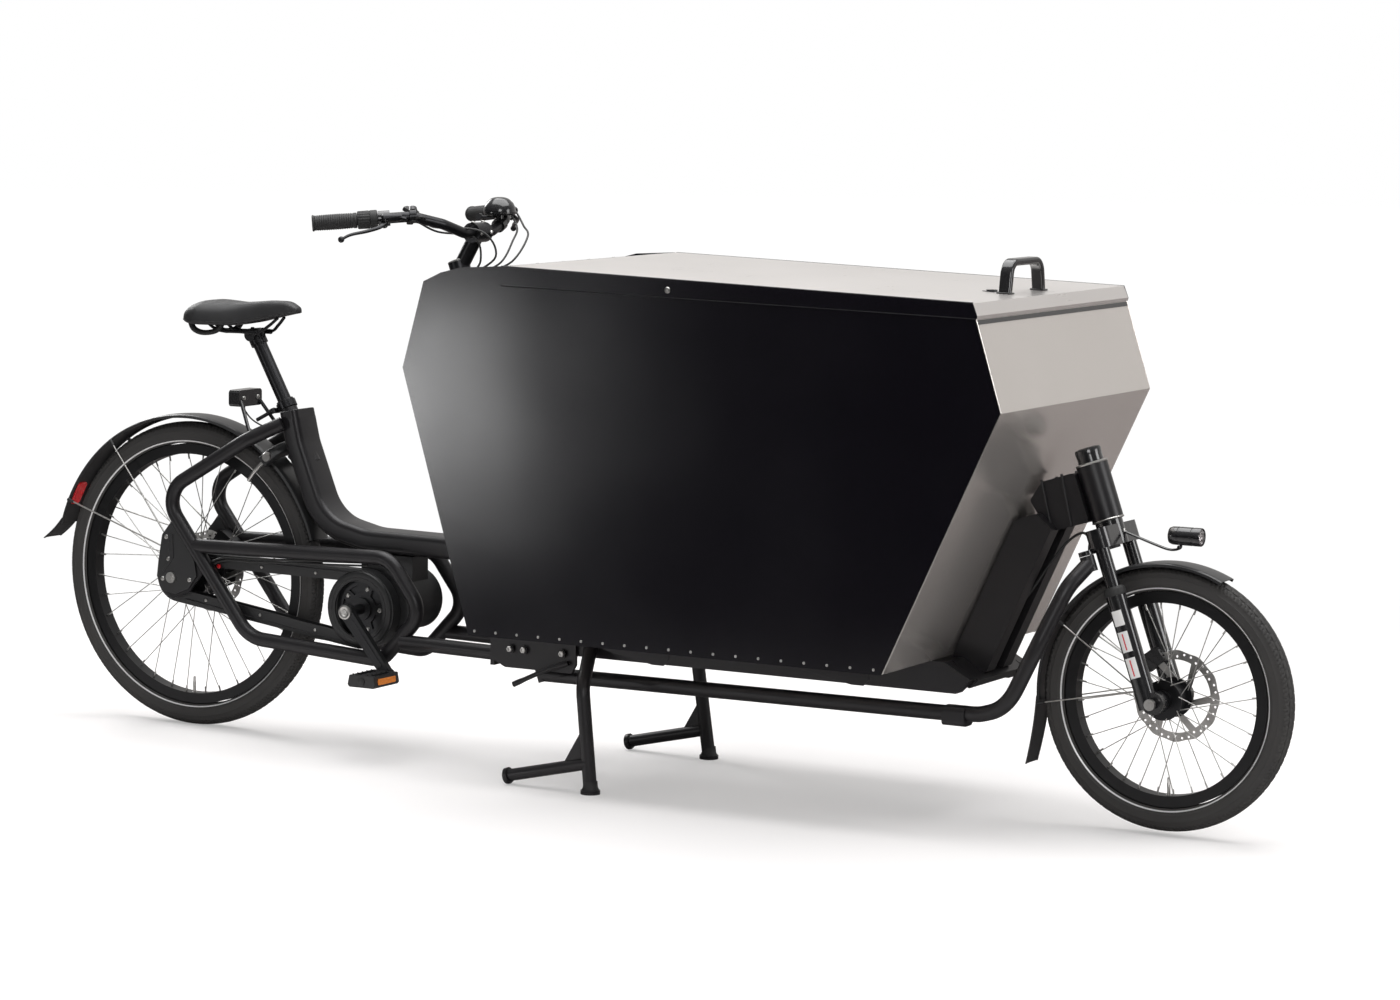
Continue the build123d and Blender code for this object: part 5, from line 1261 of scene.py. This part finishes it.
shoes.make("stand_shoes", rubber, "stand", "grip_rubber")
ring_ends.make("stand_tube_ends", satin_black, "stand", "frame_paint")
lever_line = rounded([Vector((rear.x + 1.046, -0.148, 0.244)), Vector((rear.x + 1.000, -0.154, 0.228)),
                      Vector((rear.x + 0.925, -0.165, 0.192))], 6)
Stock().tube(lever_line, [5.0] * (len(lever_line) - 3) + [5.0, 6.0, 6.0], 14).make(
    "stand_lever", satin_black, "frame", "frame_paint")
hangers = Stock()
for hand in (-1, 1):
    for start in (0.157, 0.598):
        outline = [(-hand * u, v) for u, v in ((0, 0), (0, 8), (150, 8), (150, -8), (138, -21), (112, -21))]
        hangers.slab(outline, Vector((start, hand * 0.330, 0.312)), (-hand, 0, 0), (0, 0, 1), 3.0)
hangers.make("floor_hangers", satin_black, "frame", "frame_paint", edge=0.6)
tray_bolts = Stock()
for dx in (905, 938, 1030):
    tray_bolts.turned([(0, 6.6), (2.5, 6.6), (3.4, 5.6), (3.4, 3.2), (1.6, 2.8), (1.6, 0.01)],
                      Vector((rear.x + dx * MM, -0.1492, 0.262)), (0, -1, 0), 6)
tray_bolts.make("tray_bolts", steel, "frame", "steel")

# ---------------------------------------------------------------- saddle
# A moulded foam saddle in grained vinyl over a plastic base, with a shallow channel down the
# middle and twin steel rails held in the seat post's two-bolt head.
saddle_low, saddle_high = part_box("saddle")
SADDLE_LEN = saddle_high[0] - saddle_low[0]


def spread(t, *stops):
    """A value along the saddle from its stops, eased between them."""
    places = [stop[0] for stop in stops]
    values = [stop[1] for stop in stops]
    fine = np.linspace(0, 1, 201)
    line = np.convolve(np.pad(np.interp(fine, places, values), 8, mode="edge"), np.ones(17) / 17, mode="valid")
    return float(np.interp(t, fine, line))


def vinyl():
    """Black cover with a leather grain."""
    skin = material("saddle_vinyl")
    grain = skin.node("ShaderNodeTexVoronoi", {"feature": "DISTANCE_TO_EDGE"},
                      {"Vector": skin.place(), "Scale": 520.0})
    cloud = skin.noise(22.0)
    return skin.surface(Base_Color=skin.mix(cloud, tone(0.014, 0.014, 0.015), tone(0.024, 0.024, 0.025)),
                        Roughness=0.40 + cloud * 0.16, Normal=skin.bump(grain, 0.0004))


def section(t):
    """The saddle's x, half width, crown height and base height at a share of its length."""
    half = spread(t, (0, 0.052), (0.05, 0.073), (0.18, 0.0835), (0.34, 0.066), (0.52, 0.040), (0.66, 0.028),
                  (0.85, 0.0215), (0.96, 0.017), (1, 0.010))
    crown = spread(t, (0, 0.912), (0.05, 0.930), (0.16, 0.9395), (0.45, 0.9365), (0.72, 0.9435), (0.92, 0.9430),
                   (1, 0.928))
    base = spread(t, (0, 0.894), (0.10, 0.885), (0.42, 0.885), (0.62, 0.894), (0.85, 0.909), (1, 0.918))
    return saddle_low[0] + 0.001 + (SADDLE_LEN - 0.002) * t, half, crown, base


EDGE_SHARE = 0.18
saddle_rows = []
for step in range(33):
    t = step / 32
    x, half, crown, base = section(t)
    row = []
    for turn in range(28):
        a = 2 * pi * turn / 28
        y = half * np.sign(cos(a)) * abs(cos(a)) ** 0.72
        if sin(a) >= 0:
            z = base + (crown - base) * (EDGE_SHARE + 0.82 * sin(a) ** 0.66)
            z -= 0.0034 * np.exp(-(y / 0.010) ** 2) * np.exp(-((t - 0.48) / 0.26) ** 2)
        else:
            z = base + (crown - base) * EDGE_SHARE * (1 - abs(sin(a)) ** 0.5)
        row.append(Vector((x, y, z)))
    saddle_rows.append(row)
pad = Stock().closed(saddle_rows).make("saddle_pad", vinyl(), "seat", "saddle_vinyl", crease=70.0)
smooth = pad.modifiers.new("smooth", "SUBSURF")
smooth.levels = smooth.render_levels = 1
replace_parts(pad, "saddle")
seam = []
for t in np.linspace(0.03, 0.97, 40):
    x, half, crown, base = section(t)
    seam.append((x, half, base + (crown - base) * EDGE_SHARE))
piping = Stock()
for hand in (-1, 1):
    piping.tube([Vector((x, hand * y, z)) for x, y, z in seam], 1.1, 8)
piping.make("saddle_piping", rubber, "seat", "saddle_vinyl")
RAIL_Z = 0.8726
RAIL_LINE = ((0.046, 0.034, 0.895), (0.064, 0.030, 0.880), (0.084, 0.025, RAIL_Z), (0.130, 0.025, RAIL_Z),
             (0.178, 0.025, RAIL_Z + 0.0006), (0.202, 0.018, 0.888), (0.222, 0.012, 0.906))
BUMPER_LINE = ((0.016, 0.048, 0.896), (0.024, 0.045, 0.876), (0.046, 0.040, 0.868), (0.078, 0.036, 0.874),
               (0.094, 0.034, 0.892))


def under_saddle(line, hand):
    """A smooth route below the saddle, its points measured from the saddle's back."""
    return rounded([Vector((saddle_low[0] + dx, hand * y, z)) for dx, y, z in line], 6)


rails = Stock()
bumper = Stock()
for hand in (-1, 1):
    rails.tube(under_saddle(RAIL_LINE, hand), 3.5, 12)
    bumper.tube(under_saddle(BUMPER_LINE, hand), [8.0] * 24 + [7.0], 14, flat=0.7)
rails.make("saddle_rails", satin_alloy, "seat", "black_alloy")
bumper.make("saddle_bumpers", rubber, "seat", "saddle_vinyl", crease=60.0)
post_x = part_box("seat_post")[0][0]
seat_head = Stock()
for hand, bolt_x in ((-1, 0.008), (1, 0.036)):
    seat_head.tube([Vector((post_x + dx, hand * 0.025, RAIL_Z)) for dx in (0.006, 0.040)], 5.6, 16)
    seat_head.bolt(Vector((post_x + bolt_x, 0, RAIL_Z + 0.006)), (0, 0, 1), 4.6, 4.0)
seat_head.make("seat_post_clamps", satin_alloy, "seat", "black_alloy", edge=0.6)
collar = Vector((rear.x + 0.236, 0, 0.728))
seat_lean = radians(29)
seat_way = Vector((-sin(seat_lean), 0, cos(seat_lean)))
ring = Stock().turned([(-20, 19.6), (-19, 21.6), (-8, 21.8), (-4, 21.8), (-3, 19.6)], collar, seat_way, 40)
ring.make("seat_collar", satin_alloy, "frame", "black_alloy")
